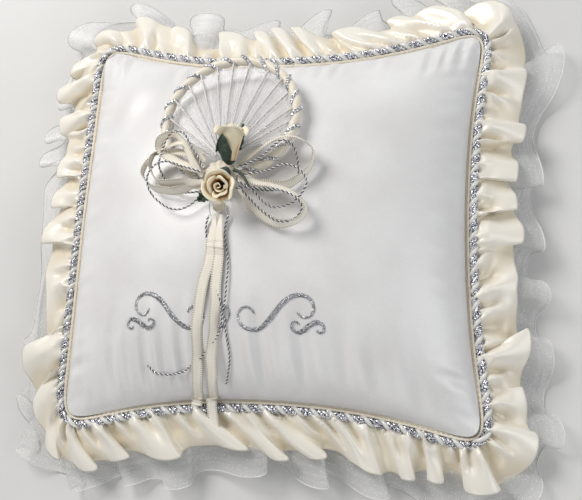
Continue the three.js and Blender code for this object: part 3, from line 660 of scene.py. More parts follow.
def petal_look(name, color, fold):
    """Ribbon-like paper petals: pale at the rim, with painted shade in brown and orange where they go down
    into the flower.
    """
    look = Look(name, color, 0.5, Sheen_Weight=0.15, Subsurface_Weight=0.0)
    # Painted shade: this value is low deep in the flower, where the ramp paints the brown fold colour and
    # orange shade.
    height = look.attribute("painted_shading")
    mottle = look.noise(420, 3)
    mixed = look.math("ADD", height, look.math("MULTIPLY", look.math("SUBTRACT", mottle, 0.5), 0.35))
    look.color(look.ramp(mixed, (0.02, fold), (0.30, (0.72, 0.46, 0.20)), (0.55, color),
                         (0.95, (0.93, 0.86, 0.68))))
    veins = look.noise((260, 1500, 1), 2, True)
    look.bump(veins, 0.00012, 0.5)
    return look.material


def leaf_look(name, color):
    look = Look(name, color, 0.55, Specular_IOR_Level=0.5)
    mottle = look.noise(700, 4)
    veins = look.wave(900, "X", True, turn=(0, 0, 0.7))
    look.color(look.ramp(mottle, (0.3, tuple(0.45 * c for c in color)), (0.62, color),
                         (0.8, (0.16, 0.20, 0.17))))
    look.bump(veins, 0.00012, 0.5)
    look.bump(mottle, 0.0002, 0.5)
    return look.material


def wood_look():
    look = Look("hoop_wood", (0.62, 0.45, 0.26), 0.55)
    grain = look.noise((90, 90, 1600), 4)
    look.color(look.ramp(grain, (0.3, (0.45, 0.30, 0.16)), (0.7, (0.68, 0.52, 0.32))))
    look.bump(grain, 0.0001, 0.4)
    return look.material


def fibre_look():
    look = Look("fibre_fill", (0.88, 0.88, 0.86), 1.0, Sheen_Weight=0.6, Sheen_Roughness=0.6)
    curls = look.noise(380, 5, rough=0.7)
    look.color(look.ramp(curls, (0.3, (0.66, 0.66, 0.64)), (0.6, (0.92, 0.92, 0.9))))
    look.bump(curls, 0.0012, 0.8)
    return look.material


def floor_look():
    look = Look("floor", (0.72, 0.72, 0.71), 0.85)
    look.color(look.ramp(look.noise(9, 2), (0.35, (0.70, 0.70, 0.69)), (0.65, (0.74, 0.74, 0.73))))
    return look.material


WHITE_SATIN = satin("satin_white", (0.88, 0.885, 0.885), (0.77, 0.755, 0.75), 0.41, metal=0.06,
                    grain_depth=0.00012, gloss=0.5)
# The ivory satin's colour carries painted shade in the valleys of the ruffle's folds.
IVORY_SATIN = satin("satin_ivory", (0.925, 0.885, 0.795), (0.80, 0.72, 0.565), 0.34, uv=True, metal=0.05,
                    grain_depth=0.00002, gloss=0.65, folds=True)
TAPE = woven("cord_tape", (0.93, 0.89, 0.79), (0.84, 0.77, 0.63), 1400, 0.8, depth=0.00025)
ORGANZA = organza("organza", (0.95, 0.955, 0.945), 0.32)
FAN_FILM = organza("fan_organza", (0.98, 0.985, 0.99), 0.24, folds=0.45)
FOOT_STREAKS = woven("fan_streaks", (0.98, 0.98, 0.98), (0.93, 0.93, 0.94), 3000, 0.25)
HEM = woven("organza_hem", (0.90, 0.90, 0.88), (0.80, 0.80, 0.78), 3000, 0.35)
RIBBON = ribbon_look("ribbon", (0.96, 0.92, 0.82), (0.87, 0.81, 0.69), True)
WRAP_RIBBON = ribbon_look("wound_ribbon", (0.88, 0.83, 0.72), (0.78, 0.71, 0.58), False)
KNOT_RIBBON = ribbon_look("knotted_ribbon", (0.84, 0.78, 0.65), (0.70, 0.62, 0.48), False)
STITCH_SILVER = lame("silver_stitch", (0.42, 0.43, 0.45), (0.16, 0.16, 0.17), 3200)
RAYON = satin("edge_cord_white", (0.84, 0.83, 0.80), (0.68, 0.67, 0.64), 0.30, uv=True)
EDGE_SILVER = lame("edge_cord_silver", (0.62, 0.64, 0.70), (0.05, 0.05, 0.06), 1700)
TWO_TONE_SILVER = two_tone("silver_cord_two_tone", (0.93, 0.93, 0.95), (0.10, 0.10, 0.11))
# Painted shadow: the dark line laid in each of the fan's folds.
FOLD_SHADOW_LINE = lame("fan_fold_shadow", (0.30, 0.30, 0.32), (0.10, 0.10, 0.11), 2600)
BRIGHT_SILVER = lame("hoop_silver", (0.80, 0.81, 0.84), (0.20, 0.20, 0.22), 1800)
RIB_THREAD = woven("fan_rib_thread", (0.93, 0.87, 0.83), (0.78, 0.71, 0.67), 2400, 0.4)
THREAD = woven("thread", (0.87, 0.86, 0.82), (0.7, 0.69, 0.65), 3500, 0.6)
PETAL = petal_look("paper_rose", (0.88, 0.76, 0.52), (0.26, 0.11, 0.03))
LEAF = leaf_look("leaf_green", (0.045, 0.075, 0.05))
FLORAL_TAPE = leaf_look("floral_tape", (0.07, 0.10, 0.085))


# ------------------------------------------------------------------ panels and filling

FACE_STEPS = 110
CLOTH_FRAMES = 22


def panel_grid(steps, height):
    """A square grid laid over the panel's rounded outline, with its uv in metres."""
    t = np.linspace(-1, 1, steps + 1)
    u, v = np.meshgrid(t, t, indexing="ij")
    reach = np.maximum(np.abs(u), np.abs(v))
    norm = superellipse(u, v, CORNER_SHAPE)
    scale = np.where(norm > 0, reach / np.maximum(norm, 1e-9), 1)
    u, v = u * scale, v * scale
    x, y = plan(u, v)
    points = np.stack([x, y, height(u, v)], -1)
    flat_uv = np.stack([u * PANEL / 2, v * PANEL / 2], -1)
    return points.reshape(-1, 3), u.ravel(), v.ravel(), flat_uv.reshape(-1, 2)


def edge_folds(u, v):
    """Seeds of the folds that run in from the seam: deepest along the bottom, then the top left."""
    rise = np.zeros_like(u)
    near_bottom = np.clip((v + 1) / 0.55, 0, 1)
    rise += (wave_sum(3, 7, 9, 24)(u / 2) * 0.0023 * near_bottom * (1 - near_bottom) ** 1.5 * 4
             * np.exp(-((u + 0.15) / 0.65) ** 2))
    near_top = np.clip((1 - v) / 0.30, 0, 1)
    rise += wave_sum(5, 7, 14, 34)(u / 2) * 0.0011 * near_top * (1 - near_top) ** 2 * 5
    near_side = np.clip((1 - np.abs(u)) / 0.22, 0, 1)
    rise += wave_sum(8, 7, 10, 26)(v / 2) * 0.0004 * near_side * (1 - near_side) ** 2 * 5
    corner = np.exp(-(((u + 0.72) / 0.34) ** 2 + ((v - 0.74) / 0.28) ** 2))
    rise += corner * 0.0018 * np.sin(TAU * ((u - v * 0.55) * 2.6 + 0.1))
    return rise


def settle_cloth(obj, pinned, loose, frames, pressure):
    """Blender's Cloth on the mesh: pinned weights hold it, loose weights give spare cloth."""
    for group, weights in (("pin", pinned), ("loose", loose)):
        made = obj.vertex_groups.new(name=group)
        for level in np.unique(np.round(weights, 2)):
            made.add(np.flatnonzero(np.round(weights, 2) == level).tolist(), float(level), "REPLACE")
    cloth = obj.modifiers.new("cloth", "CLOTH")
    s = cloth.settings
    s.quality, s.mass, s.air_damping = 6, 0.2, 2.0
    s.tension_stiffness = s.compression_stiffness = 12
    s.shear_stiffness, s.bending_stiffness = 6, 0.08
    s.tension_damping = s.compression_damping = s.shear_damping = 8
    s.vertex_group_mass = "pin"
    s.vertex_group_shrink = "loose"
    s.shrink_min, s.shrink_max = 0.0, -0.055
    s.use_pressure, s.uniform_pressure_force = pressure > 0, pressure
    s.effector_weights.gravity = 0
    cloth.collision_settings.use_collision = False
    cloth.point_cache.frame_start, cloth.point_cache.frame_end = 1, frames
    scene = bpy.context.scene
    for f in range(1, frames + 1):
        scene.frame_set(f)
    graph = bpy.context.evaluated_depsgraph_get()
    settled = obj.evaluated_get(graph).to_mesh()
    co = np.empty(len(settled.vertices) * 3)
    settled.vertices.foreach_get("co", co)
    obj.modifiers.remove(cloth)
    obj.vertex_groups.clear()
    scene.frame_set(1)
    return co.reshape(-1, 3)


def make_front_panel():
    points, u, v, uv = panel_grid(FACE_STEPS, front_height)
    start = points.copy()
    start[:, 2] += edge_folds(u, v)
    faces = grid_faces(FACE_STEPS + 1, FACE_STEPS + 1)
    panel = new_object("front_panel_satin", start, faces, WHITE_SATIN, uv)
    norm = superellipse(u, v, CORNER_SHAPE)
    rim = norm > 0.9985
    loose = np.clip(np.exp(-((v + 1) / 0.5) ** 2) * np.exp(-((u + 0.1) / 0.75) ** 2)
                    + 0.6 * np.exp(-((v - 1) / 0.3) ** 2)
                    + 0.35 * np.exp(-((1 - np.abs(u)) / 0.25) ** 2) + 0.08, 0, 1)
    moved = settle_cloth(panel, rim.astype(float), loose, CLOTH_FRAMES, 1.2) - start
    far = np.linalg.norm(moved, axis=1, keepdims=True)
    moved *= np.minimum(1, 0.005 / np.maximum(far, 1e-9))
    start = start + moved
    # Under the spray and the tails the face stays at its CAD height, so that they lie on it.
    x, y = start[:, 0], start[:, 1]
    base_u, base_v = uv_of(x, y)
    cad = front_height(np.clip(base_u, -1, 1), np.clip(base_v, -1, 1))
    under = np.maximum(np.exp(-(((x + 0.018) / 0.055) ** 2 + ((y - 0.040) / 0.058) ** 2) ** 2),
                       np.exp(-((x + 0.022) / 0.022) ** 4) * (y < 0.0))
    room = 0.0030 * (1 - under) + 0.0004
    over = start[:, 2] - cad
    start[:, 2] = cad + np.where(over > 0, room * np.tanh(over / room), over)
    panel.data.vertices.foreach_set("co", start.ravel())
    panel.data.update()
    subdivide(panel)
    place(panel, "pillow", "satin_white", "front_panel")
    return start, faces


def make_back_panel():
    points, u, v, uv = panel_grid(80, back_height)
    near = np.clip((1 - np.maximum(np.abs(u), np.abs(v))) / 0.4, 0, 1)
    folds = wave_sum(11, 8, 8, 26)(np.arctan2(v, u) / TAU) * 0.0009 * near * (1 - near) * 4
    lift = points[:, 2] > 0.0008
    points[:, 2] = np.where(lift, np.maximum(points[:, 2] + folds, 0.0003), points[:, 2])
    faces = [f[::-1] for f in grid_faces(81, 81)]
    panel = new_object("back_panel_satin", points, faces, WHITE_SATIN, uv)
    subdivide(panel)
    place(panel, "pillow", "satin_white", "back_panel")


def make_filling():
    """The stuffing: a lumpy body of fibre just inside the two panels."""
    steps, inset = 56, 0.95
    lump = wave_sum(21, 6, 3, 9)

    def layer(height, away):
        t = np.linspace(-inset, inset, steps + 1)
        u, v = np.meshgrid(t, t, indexing="ij")
        reach = np.maximum(np.abs(u), np.abs(v))
        norm = superellipse(u, v, 6)
        scale = np.where(norm > 0, reach / np.maximum(norm, 1e-9), 1)
        u, v = u * scale, v * scale
        x, y = plan(u, v)
        lumps = 0.0006 * (1 + lump(u / 2 + 0.3 * v)) * (1 - (reach / inset) ** 4)
        middle = (front_height(u, v) + back_height(u, v)) / 2
        rounded = np.sqrt(np.clip(1 - (reach / inset) ** 14, 0, 1))
        z = middle + (height(u, v) + away * (0.0022 + np.maximum(lumps, 0)) - middle) * rounded
        return np.stack([x, y, z], -1).reshape(-1, 3)
    top, under = layer(front_height, -1), layer(back_height, 1)
    count = (steps + 1) ** 2
    points = np.vstack([top, under])
    faces = grid_faces(steps + 1, steps + 1)
    faces += [f[::-1] for f in grid_faces(steps + 1, steps + 1, start=count)]
    n = steps + 1
    rim = ([i * n for i in range(steps)] + [steps * n + j for j in range(steps)]
           + [i * n + steps for i in range(steps, 0, -1)] + list(range(steps, 0, -1)))
    for k, a in enumerate(rim):
        b = rim[(k + 1) % len(rim)]
        faces.append((a, a + count, b + count, b))
    filling = new_object("filling_fibre", points, faces, FIBRE_LOOK)
    place(filling, "pillow", "fibre_fill", "filling")


FIBRE_LOOK = fibre_look()

# ------------------------------------------------------------------ trims in the seam


def make_tape():
    """The edge cord's woven lip, which shows as a narrow cream strip inside the cord."""
    outline = [(-0.003, -0.0016), (-0.0008, 0.0001), (0.0002, 0.0008), (0.0010, 0.0014), (0.0018, 0.0019),
               (0.0022, 0.0017), (0.0015, 0.0006), (0.0012, -0.0012), (-0.003, -0.0019)]
    points, faces, uv = seam_ring(900, outline)
    place(new_object("cord_lip_tape_woven", points, faces, TAPE, uv), "pillow", "cord_tape",
          "cord_lip_tape")
    # Short machine stitches through the tape, beside the panel's edge.
    a, _ = even_seam(330)
    parts = []
    for q in a:
        p = seam_offset(q + np.array([-0.0042, 0.0, 0.0042]), np.array([0.0006, 0.00065, 0.0006]),
                        np.array([0.0012, 0.0016, 0.0012]))
        parts.append(tube_mesh(p, 0.00014, 5))
    points, faces = join(parts)
    place(new_object("tape_stitches", points, faces, STITCH_BROWN), "pillow", "thread")


STITCH_BROWN = woven("brown_thread", (0.74, 0.63, 0.45), (0.56, 0.44, 0.28), 3500, 0.7)


def make_edge_cord():
    """Three strands laid as a rope: a white rayon one and two of silver lame."""
    a, length = even_seam(4200)
    line = seam_offset(a, np.full(len(a), CORD_OUT), np.full(len(a), CORD_UP))
    pitch, offset = 0.0098, 0.00128
    turns = round(length / pitch)
    _, side, up = frames_along(line, True)
    along = np.arange(len(line)) / len(line)
    spread = {"edge_cord_white": (0.0, 0.00122), "edge_cord_silver_1": (0.34, 0.00112),
              "edge_cord_silver_2": (0.66, 0.00112)}
    for name, (phase, radius) in spread.items():
        angle = (TAU * (turns * along + phase))[:, None]
        centre = line + offset * (np.cos(angle) * side + np.sin(angle) * up)
        white = name == "edge_cord_white"
        plies, fine = (2, length / 0.0016) if not white else (7, turns * 0.55)

        def section(i, around, plies=plies, fine=fine, white=white):
            ridge = np.cos(plies * (around - TAU * round(fine) * i / len(line)))
            return 1 + (0.035 if white else 0.16) * ridge
        points, faces = tube_mesh(centre, radius, 14 if white else 10, True, section)
        strand = new_object(name, points, faces, RAYON if white else EDGE_SILVER)
        place(strand, "pillow", "edge_cord", *(["edge_cord"] if white else []))
    # A short binding of the same silver thread hides where the cord's two ends meet.
    meet = seam_offset(np.linspace(0.412, 0.438, 9), np.full(9, CORD_OUT), np.full(9, CORD_UP))
    line = spaced(meet, 0.0004)
    _, side, up = frames_along(line)
    turn = np.linspace(0, TAU * 9, len(line) * 6)
    index = np.linspace(0, len(line) - 1, len(turn))

    def finer(values):
        return np.stack([np.interp(index, np.arange(len(line)), values[:, k]) for k in range(3)], -1)
    wind = finer(line) + 0.0027 * (np.cos(turn)[:, None] * finer(side)
                                   + np.sin(turn)[:, None] * finer(up))
    points, faces = tube_mesh(wind, 0.00032, 6)
    place(new_object("edge_cord_binding", points, faces, EDGE_SILVER), "pillow", "edge_cord")


# ------------------------------------------------------------------ ruffles


SATIN_WIDE, SATIN_WAVES = 0.0268, (40, 84, 176)  # reach, and its large, middle and small folds
ORGANZA_WIDE, ORGANZA_WAVES = 0.0395, (30, 120)
SATIN_MIDDLE, ORGANZA_MIDDLE = 0.018, 0.026  # where along its width a ruffle's folds are evenly shared


def rounded_floor(z, floor=0.0006, soft=0.002):
    """Cloth that would hang below the table lies on it."""
    return floor + soft * np.logaddexp(0, (z - floor) / soft)


def ruffle_rows(count, middle):
    """Values of a that are evenly apart along the line at the ruffle's middle, and its length,
    so that the corners get their share of the cloth."""
    a = np.linspace(0, 4, 4001)
    p = seam_offset(a, np.full(len(a), middle), np.zeros(len(a)))
    along = np.concatenate([[0], np.cumsum(np.linalg.norm(np.diff(p, axis=0), axis=1))])
    return np.interp(np.arange(count) / count * along[-1], along, a), along[-1]


def folds_along(seed, waves, jitter):
    """Folds of uneven length round the seam (0 to 1): their phase, and each one's own size."""
    drift, strength = wave_sum(seed, 6, 3, waves // 3), wave_sum(seed + 1, 6, 5, waves // 2)
    return (lambda x: TAU * waves * x + jitter * drift(x),
            lambda x: np.clip(1 + 0.3 * strength(x), 0.4, 1.6))


def make_satin_ruffle():
    """Satin folded double. Tight gathers at the seam run together, outwards, into large folds
    that lean over one another; the outer edge is the fold of the cloth itself."""
    count, across = 2600, 17
    a, length = ruffle_rows(count, SATIN_MIDDLE)
    x = np.arange(count) / count
    large, large_size = folds_along(31, SATIN_WAVES[0], 1.3)
    middle, middle_size = folds_along(51, SATIN_WAVES[1], 1.2)
    small, small_size = folds_along(41, SATIN_WAVES[2], 1.2)
    lean, slope = wave_sum(35, 4, 2, 8), wave_sum(37, 4, 2, 6)
    w = np.linspace(-1, 1, 2 * across + 1)  # from the upper header round the fold to the lower one
    t = 1 - np.abs(w) ** 1.25
    X, T = np.meshgrid(x, t, indexing="ij")
    W = np.broadcast_to(w, X.shape)
    slant = (0.013 + 0.010 * slope(X)) * T ** 1.1  # the folds run out at an angle
    shift = X - slant / length
    p1, p2, p3 = large(shift), middle(shift), small(shift)
    s1, s2, s3 = large_size(X), middle_size(X), small_size(X)
    grow = T ** 1.1
    rise = 0.0038 * grow * s1 * np.sin(p1)
    rise += 0.0028 * s2 * np.sin(p2 + 0.9 * np.sin(p1)) * np.exp(-((T - 0.40) / 0.26) ** 2)
    rise += 0.0018 * s3 * np.sin(p3) * np.exp(-((T - 0.13) / 0.16) ** 2)
    rise += 0.0004 * np.sin(p2 + 2.1 + np.sin(p1)) * T ** 2
    tilt = np.tanh(2.2 * (lean(X) + 0.35))
    along = (0.0053 * grow * s1 * tilt * np.sin(p1) - 0.0017 * grow * s1 * np.sin(2 * p1)
             + 0.0009 * s2 * tilt * np.sin(p2) * np.exp(-((T - 0.45) / 0.3) ** 2)
             + 0.0004 * s3 * np.sin(p3 + 1) * np.exp(-((T - 0.15) / 0.15) ** 2))
    out = 0.0008 + SATIN_WIDE * T * (1 + 0.09 * s1 * grow * np.sin(p1 + 0.35 * tilt) + 0.01 * np.sin(p2))
    out += 0.0018 * T * wave_sum(61, 6, 6, 20)(X)
    up = -0.0010 + 0.0022 * np.sin(np.clip(T / 0.5, 0, 1) * math.pi) - 0.0075 * T ** 1.6
    puff = 0.0002 + 0.0010 * np.sin(math.pi * np.clip(T, 0, 1) ** 1.5) * (1 + 0.4 * np.sin(p2 + 1))
    puff = puff * np.sqrt(np.clip(1 - T ** 12, 0, 1)) + 0.00025 * np.sqrt(np.clip(1 - T ** 40, 0, 1))
    up = up + rise + np.sign(-W) * puff
    p, away = seam_at(a)
    tangent = np.cross(np.array([0, 0, 1.0]), away)
    points = (p[:, None] + away[:, None] * out[..., None] + tangent[:, None] * along[..., None]
              + up[..., None] * np.array([0, 0, 1.0]))
    points[..., 2] = rounded_floor(points[..., 2], 0.004)
    faces = grid_faces(count, len(w), ring_rows=True)
    uv = np.stack([np.repeat(x * length * 1.8, len(w)), np.tile((w + 1) * 0.028, count)], -1)
    ruffle = new_object("satin_ruffle_gathered", points.reshape(-1, 3), faces, IVORY_SATIN, uv)
    # Painted shade: darker in the valleys of the folds and close to the seam, lighter out towards the edge.
    painted_shading = 0.56 + rise / 0.0085 + 0.10 * T - 0.22 * np.exp(-(T / 0.10) ** 2)
    set_value(ruffle, "painted_shading", np.clip(painted_shading, 0, 1).ravel())
    place(ruffle, "pillow", "satin_ivory", "satin_ruffle")


def make_organza_ruffle():
    """One sheer layer, wider than the satin, in larger and softer folds with a fine hem."""
    count, across = 2000, 18
    a, length = ruffle_rows(count, ORGANZA_MIDDLE)
    x = np.arange(count) / count
    large, large_size = folds_along(71, ORGANZA_WAVES[0], 1.3)
    small, small_size = folds_along(81, ORGANZA_WAVES[1], 1.0)
    lean, slope = wave_sum(75, 4, 2, 7), wave_sum(77, 4, 2, 5)
    t = np.linspace(0, 1, across + 1)
    X, T = np.meshgrid(x, t, indexing="ij")
    slant = (0.006 + 0.010 * slope(X)) * T ** 1.2
    shift = X - slant / length
    p1, p2 = large(shift), small(shift)
    s1 = large_size(X)
    rise = 0.0066 * T ** 2 * s1 * np.sin(p1) + 0.0010 * small_size(X) * np.sin(p2) * np.exp(-(T / 0.35) ** 2)
    tilt = np.tanh(2.0 * (lean(X) + 0.2))
    along = 0.0072 * T * s1 * tilt * np.sin(p1) - 0.0016 * T * s1 * np.sin(2 * p1)
    out = 0.0008 + ORGANZA_WIDE * T * (1 + 0.10 * s1 * np.sin(p1 + 0.3) + 0.05 * wave_sum(91, 6, 4, 13)(X))
    up = -0.0050 - 0.0145 * T ** 1.2 + rise
    p, away = seam_at(a)
    tangent = np.cross(np.array([0, 0, 1.0]), away)
    points = (p[:, None] + away[:, None] * out[..., None] + tangent[:, None] * along[..., None]
              + up[..., None] * np.array([0, 0, 1.0]))
    points[..., 2] = rounded_floor(points[..., 2])
    faces = grid_faces(count, len(t), ring_rows=True)
    uv = np.stack([np.repeat(x * length * 1.5, len(t)), np.tile(t * 0.042, count)], -1)
    ruffle = new_object("organza_ruffle_gathered", points.reshape(-1, 3), faces, ORGANZA, uv)
    place(ruffle, "pillow", "organza", "organza_ruffle")
    hem_points, hem_faces = tube_mesh(points[:, -1], 0.00036, 6, True)
    hem_uv = np.zeros((len(hem_points), 2))
    hem_uv[:, 0] = np.repeat(x * length, 6)
    hem = new_object("organza_rolled_hem", hem_points, hem_faces, HEM, hem_uv)
    place(hem, "pillow", "thread", "organza_hem_thread")


# ------------------------------------------------------------------ ribbons and silver cords


def twisted_cord(name, body, route, slot, node, lie_on=None):
    """A free silver cord: two plies, each a little flattened where they press together."""
    line = smooth_line(route, 0.00022)
    if lie_on is not None:
        line = lie_on(line, SILVER_CORD / 2)
    r = SILVER_CORD / 2
    plies = twisted(line, 2, r * 0.50, r * 0.54, 0.0025, 7)
    points, faces = join(plies)
    cord = new_object(name + "_twisted", points, faces, TWO_TONE_SILVER)
    set_value(cord, "ply", np.repeat([0.0, 1.0], [len(plies[0][0]), len(plies[1][0])]))
    place(cord, body, slot, node)
    line_length(line)
    path_of(line)


def path_of(line):
    """Every sixth point of a line or so, with both of its ends."""
    return line[np.linspace(0, len(line) - 1, len(line) // 6).round().astype(int)].tolist()


def line_length(line):
    return float(np.linalg.norm(np.diff(line, axis=0), axis=1).sum())


def ribbon_mesh(line, up, width, roll, cup=0.12):
    """Points, faces and uv of a flat ribbon with a picot edge: tiny beads along both selvedges."""
    tangent = unit(np.gradient(line, axis=0))
    side = unit(np.cross(up, tangent))
    normal = np.cross(tangent, side)
    c, s = np.cos(roll)[:, None], np.sin(roll)[:, None]
    side, normal = c * side + s * normal, c * normal - s * side
    along = np.concatenate([[0], np.cumsum(np.linalg.norm(np.diff(line, axis=0), axis=1))])
    across = np.array([-1, -0.955, -0.90, -0.84, -0.5, 0, 0.5, 0.84, 0.90, 0.955, 1])
    picot = 0.5 + 0.5 * np.cos(TAU * along / 0.00085)
    half = width[:, None] / 2 * across[None] * np.where(np.abs(across) > 0.99, 1 + 0.03 * picot[:, None], 1)
    bead = np.where(np.abs(np.abs(across) - 0.955) < 0.02, 1.0, 0.0)[None]
    thick = RIBBON_THICK / 2 * (1 + bead * (0.4 + 1.1 * picot[:, None]))
    thick = np.where(np.abs(across)[None] > 0.99, thick * 0.35, thick)
    dish = cup * width[:, None] / 2 * (1 - across[None] ** 2)
    top = line[:, None] + side[:, None] * half[..., None] + normal[:, None] * (dish + thick)[..., None]
    low = line[:, None] + side[:, None] * half[..., None] + normal[:, None] * (dish - thick)[..., None]
    loop = np.concatenate([top, low[:, ::-1]], 1)
    n = loop.shape[1]
    faces = grid_faces(len(line), n, ring_columns=True)
    last = (len(line) - 1) * n
    faces += [tuple(range(n))[::-1], tuple(range(last, last + n))]
    uv_across = np.concatenate([half, half[:, ::-1]], 1) + 0.003
    uv = np.stack([np.broadcast_to(along[:, None], uv_across.shape), uv_across], -1)
    return loop.reshape(-1, 3), faces, uv.reshape(-1, 2)


def pinch(t, ends):
    near = np.minimum(t, 1 - t) if ends == 2 else t
    k = np.clip(near / 0.16, 0, 1)
    return 0.0022 + (RIBBON_WIDTH - 0.0022) * k * k * (3 - 2 * k)


LOOP_ROLLS = {  # how far each loop stands on its edge: in its upper run, its turn and its lower run
    "bow_loop_left_front": (40, 87, 66), "bow_loop_left_back": (44, 86, 70),
    "bow_loop_left_small": (30, 80, 50), "bow_loop_right_upper": (-58, -87, -64),
    "bow_loop_right_lower": (-52, -84, -40)}


def make_loops():
    for name, route in RIBBON_LOOPS.items():
        line = smooth_line(route, 0.0003)
        t = np.linspace(0, 1, len(line))
        first, turn, last = LOOP_ROLLS[name]
        roll = np.radians(np.interp(t, (0, 0.14, 0.34, 0.44, 0.58, 0.68, 0.86, 1),
                                    (0, first, first, turn, turn, last, last, 0)))
        roll = smoothed(roll, 41)
        up = np.broadcast_to([0, 0, 1.0], line.shape)
        points, faces, uv = ribbon_mesh(line, up, pinch(t, 2), roll)
        ribbon = new_object(name + "_ribbon", points, faces, RIBBON, uv)
        place(ribbon, "spray", "ribbon", name)
        line_length(line)
    for name, route in SILVER_LOOPS.items():
        twisted_cord(name, "spray", route, "silver_cord", name)


def make_tails(face):
    """The tails lie on the face, a hair above the settled satin."""
    def lie_on(line, clearance):
        out = line.copy()
        for i, p in enumerate(line):
            ground = face.height(p[0], p[1])
            if ground is not None:
                out[i, 2] = max(p[2] if i < 60 else min(p[2], ground + 0.0016), ground + clearance)
        out[:, 2] = np.maximum(smoothed(out[:, 2], 25), out[:, 2] - 0.0002)
        return out
    for name, route in RIBBON_TAILS.items():
        line = lie_on(smooth_line(route, 0.0003), 0.0005)
        t = np.linspace(0, 1, len(line))
        up = np.array([face.normal(p[0], p[1]) for p in line])
        up = unit(np.stack([smoothed(up[:, k], 41) for k in range(3)], -1))
        roll = 0.10 * np.sin(TAU * (1.3 * t + 0.2))
        points, faces, uv = ribbon_mesh(line, up, pinch(t, 1), roll, 0.05)
        ribbon = new_object(name + "_ribbon", points, faces, RIBBON, uv)
        place(ribbon, "pillow", "ribbon", name)
        line_length(line)
    for name, route in SILVER_TAILS.items():
        twisted_cord(name, "pillow", route, "silver_cord", name, lie_on)


class Face:
    """The settled face of the pillow: its height and its normal over a point of the plan."""

    def __init__(self, points, faces):
        self.tree = BVHTree.FromPolygons([tuple(p) for p in points], faces)

    def hit(self, x, y):
        return self.tree.ray_cast(Vector((x, y, 0.2)), Vector((0, 0, -1)))

    def height(self, x, y):
        place_, _, _, _ = self.hit(x, y)
        return None if place_ is None else place_.z

    def normal(self, x, y):
        _, normal, _, _ = self.hit(x, y)
        if normal is None:
            return np.array([0, -0.5, 0.87])
        return np.array(normal if normal.z > 0 else -normal)


# ------------------------------------------------------------------ embroidery

SCROLLS = {
    "scroll_left_large": ((-0.047, -0.059), 0.040, -52, 5.4, 1),
    "scroll_right_large": ((0.013, -0.059), 0.040, -52, 5.4, -1),
    "scroll_left_small": ((-0.064, -0.066), 0.016, -38, 5.0, 1),
    "scroll_right_small": ((0.030, -0.066), 0.016, -38, 5.0, -1),
}


def scroll_line(at, size, turn, curl, mirror):
    steps = 160
    t = (np.arange(steps) + 0.5) / steps
    heading = math.radians(turn) + curl * t * t
    half = np.cumsum(np.stack([np.cos(heading), np.sin(heading)], -1) * size / steps, 0)
    whole = np.vstack([-half[::-1], [[0, 0]], half])
    return np.stack([at[0] + mirror * whole[:, 0], at[1] + whole[:, 1]], -1)


def heart_line():
    t = math.pi * (0.04 + 1.92 * np.linspace(0, 1, 240)) + math.pi
    x = 13 * np.sin(t) - 0.8 * np.sin(3 * t)
    y = 13 * np.cos(t) - 5 * np.cos(2 * t) - 2 * np.cos(3 * t) - np.cos(4 * t)
    return np.stack([-0.017 + 0.36 * MM * x, -0.061 + 0.36 * MM * y], -1)


def satin_stitch(name, flat, width, face, node):
    """Threads laid side by side across a drawn line, each arched a little over the next."""
    flat = np.column_stack([flat, np.zeros(len(flat))])
    line = spaced(flat, 0.00034)
    tangent = unit(np.gradient(line, axis=0))
    rng = np.random.default_rng(len(name))
    parts = []
    for i, (p, d) in enumerate(zip(line, tangent)):
        share = i / (len(line) - 1)
        half = width(share) / 2 * (1 + 0.10 * rng.uniform(-1, 1))
        lean = math.radians(64 + 6 * rng.uniform(-1, 1))
        across = np.array([d[0] * math.cos(lean) - d[1] * math.sin(lean),
                           d[0] * math.sin(lean) + d[1] * math.cos(lean)])
        arch = []
        for k in np.linspace(-1, 1, 5):
            x, y = p[:2] + across * half * k
            ground = face.height(x, y)
            arch.append((x, y, (ground or 0.06) + 0.00006 + 0.00042 * (1 - k * k) + 0.00004 * (i % 2)))
        parts.append(tube_mesh(np.array(arch), 0.00019, 5))
    points, faces = join(parts)
    place(new_object(name + "_stitches", points, faces, STITCH_SILVER), "pillow", "silver_cord", node)


def make_embroidery(face):
    def swell(t):
        return 0.0011 + 0.0018 * math.sin(math.pi * t) ** 2
    for name, (at, size, turn, curl, mirror) in SCROLLS.items():
        satin_stitch(name, scroll_line(at, size, turn, curl, mirror), swell, face, name)
    satin_stitch("scroll_heart", heart_line(), lambda t: 0.0013, face, "scroll_heart")


# ------------------------------------------------------------------ knot and tacks


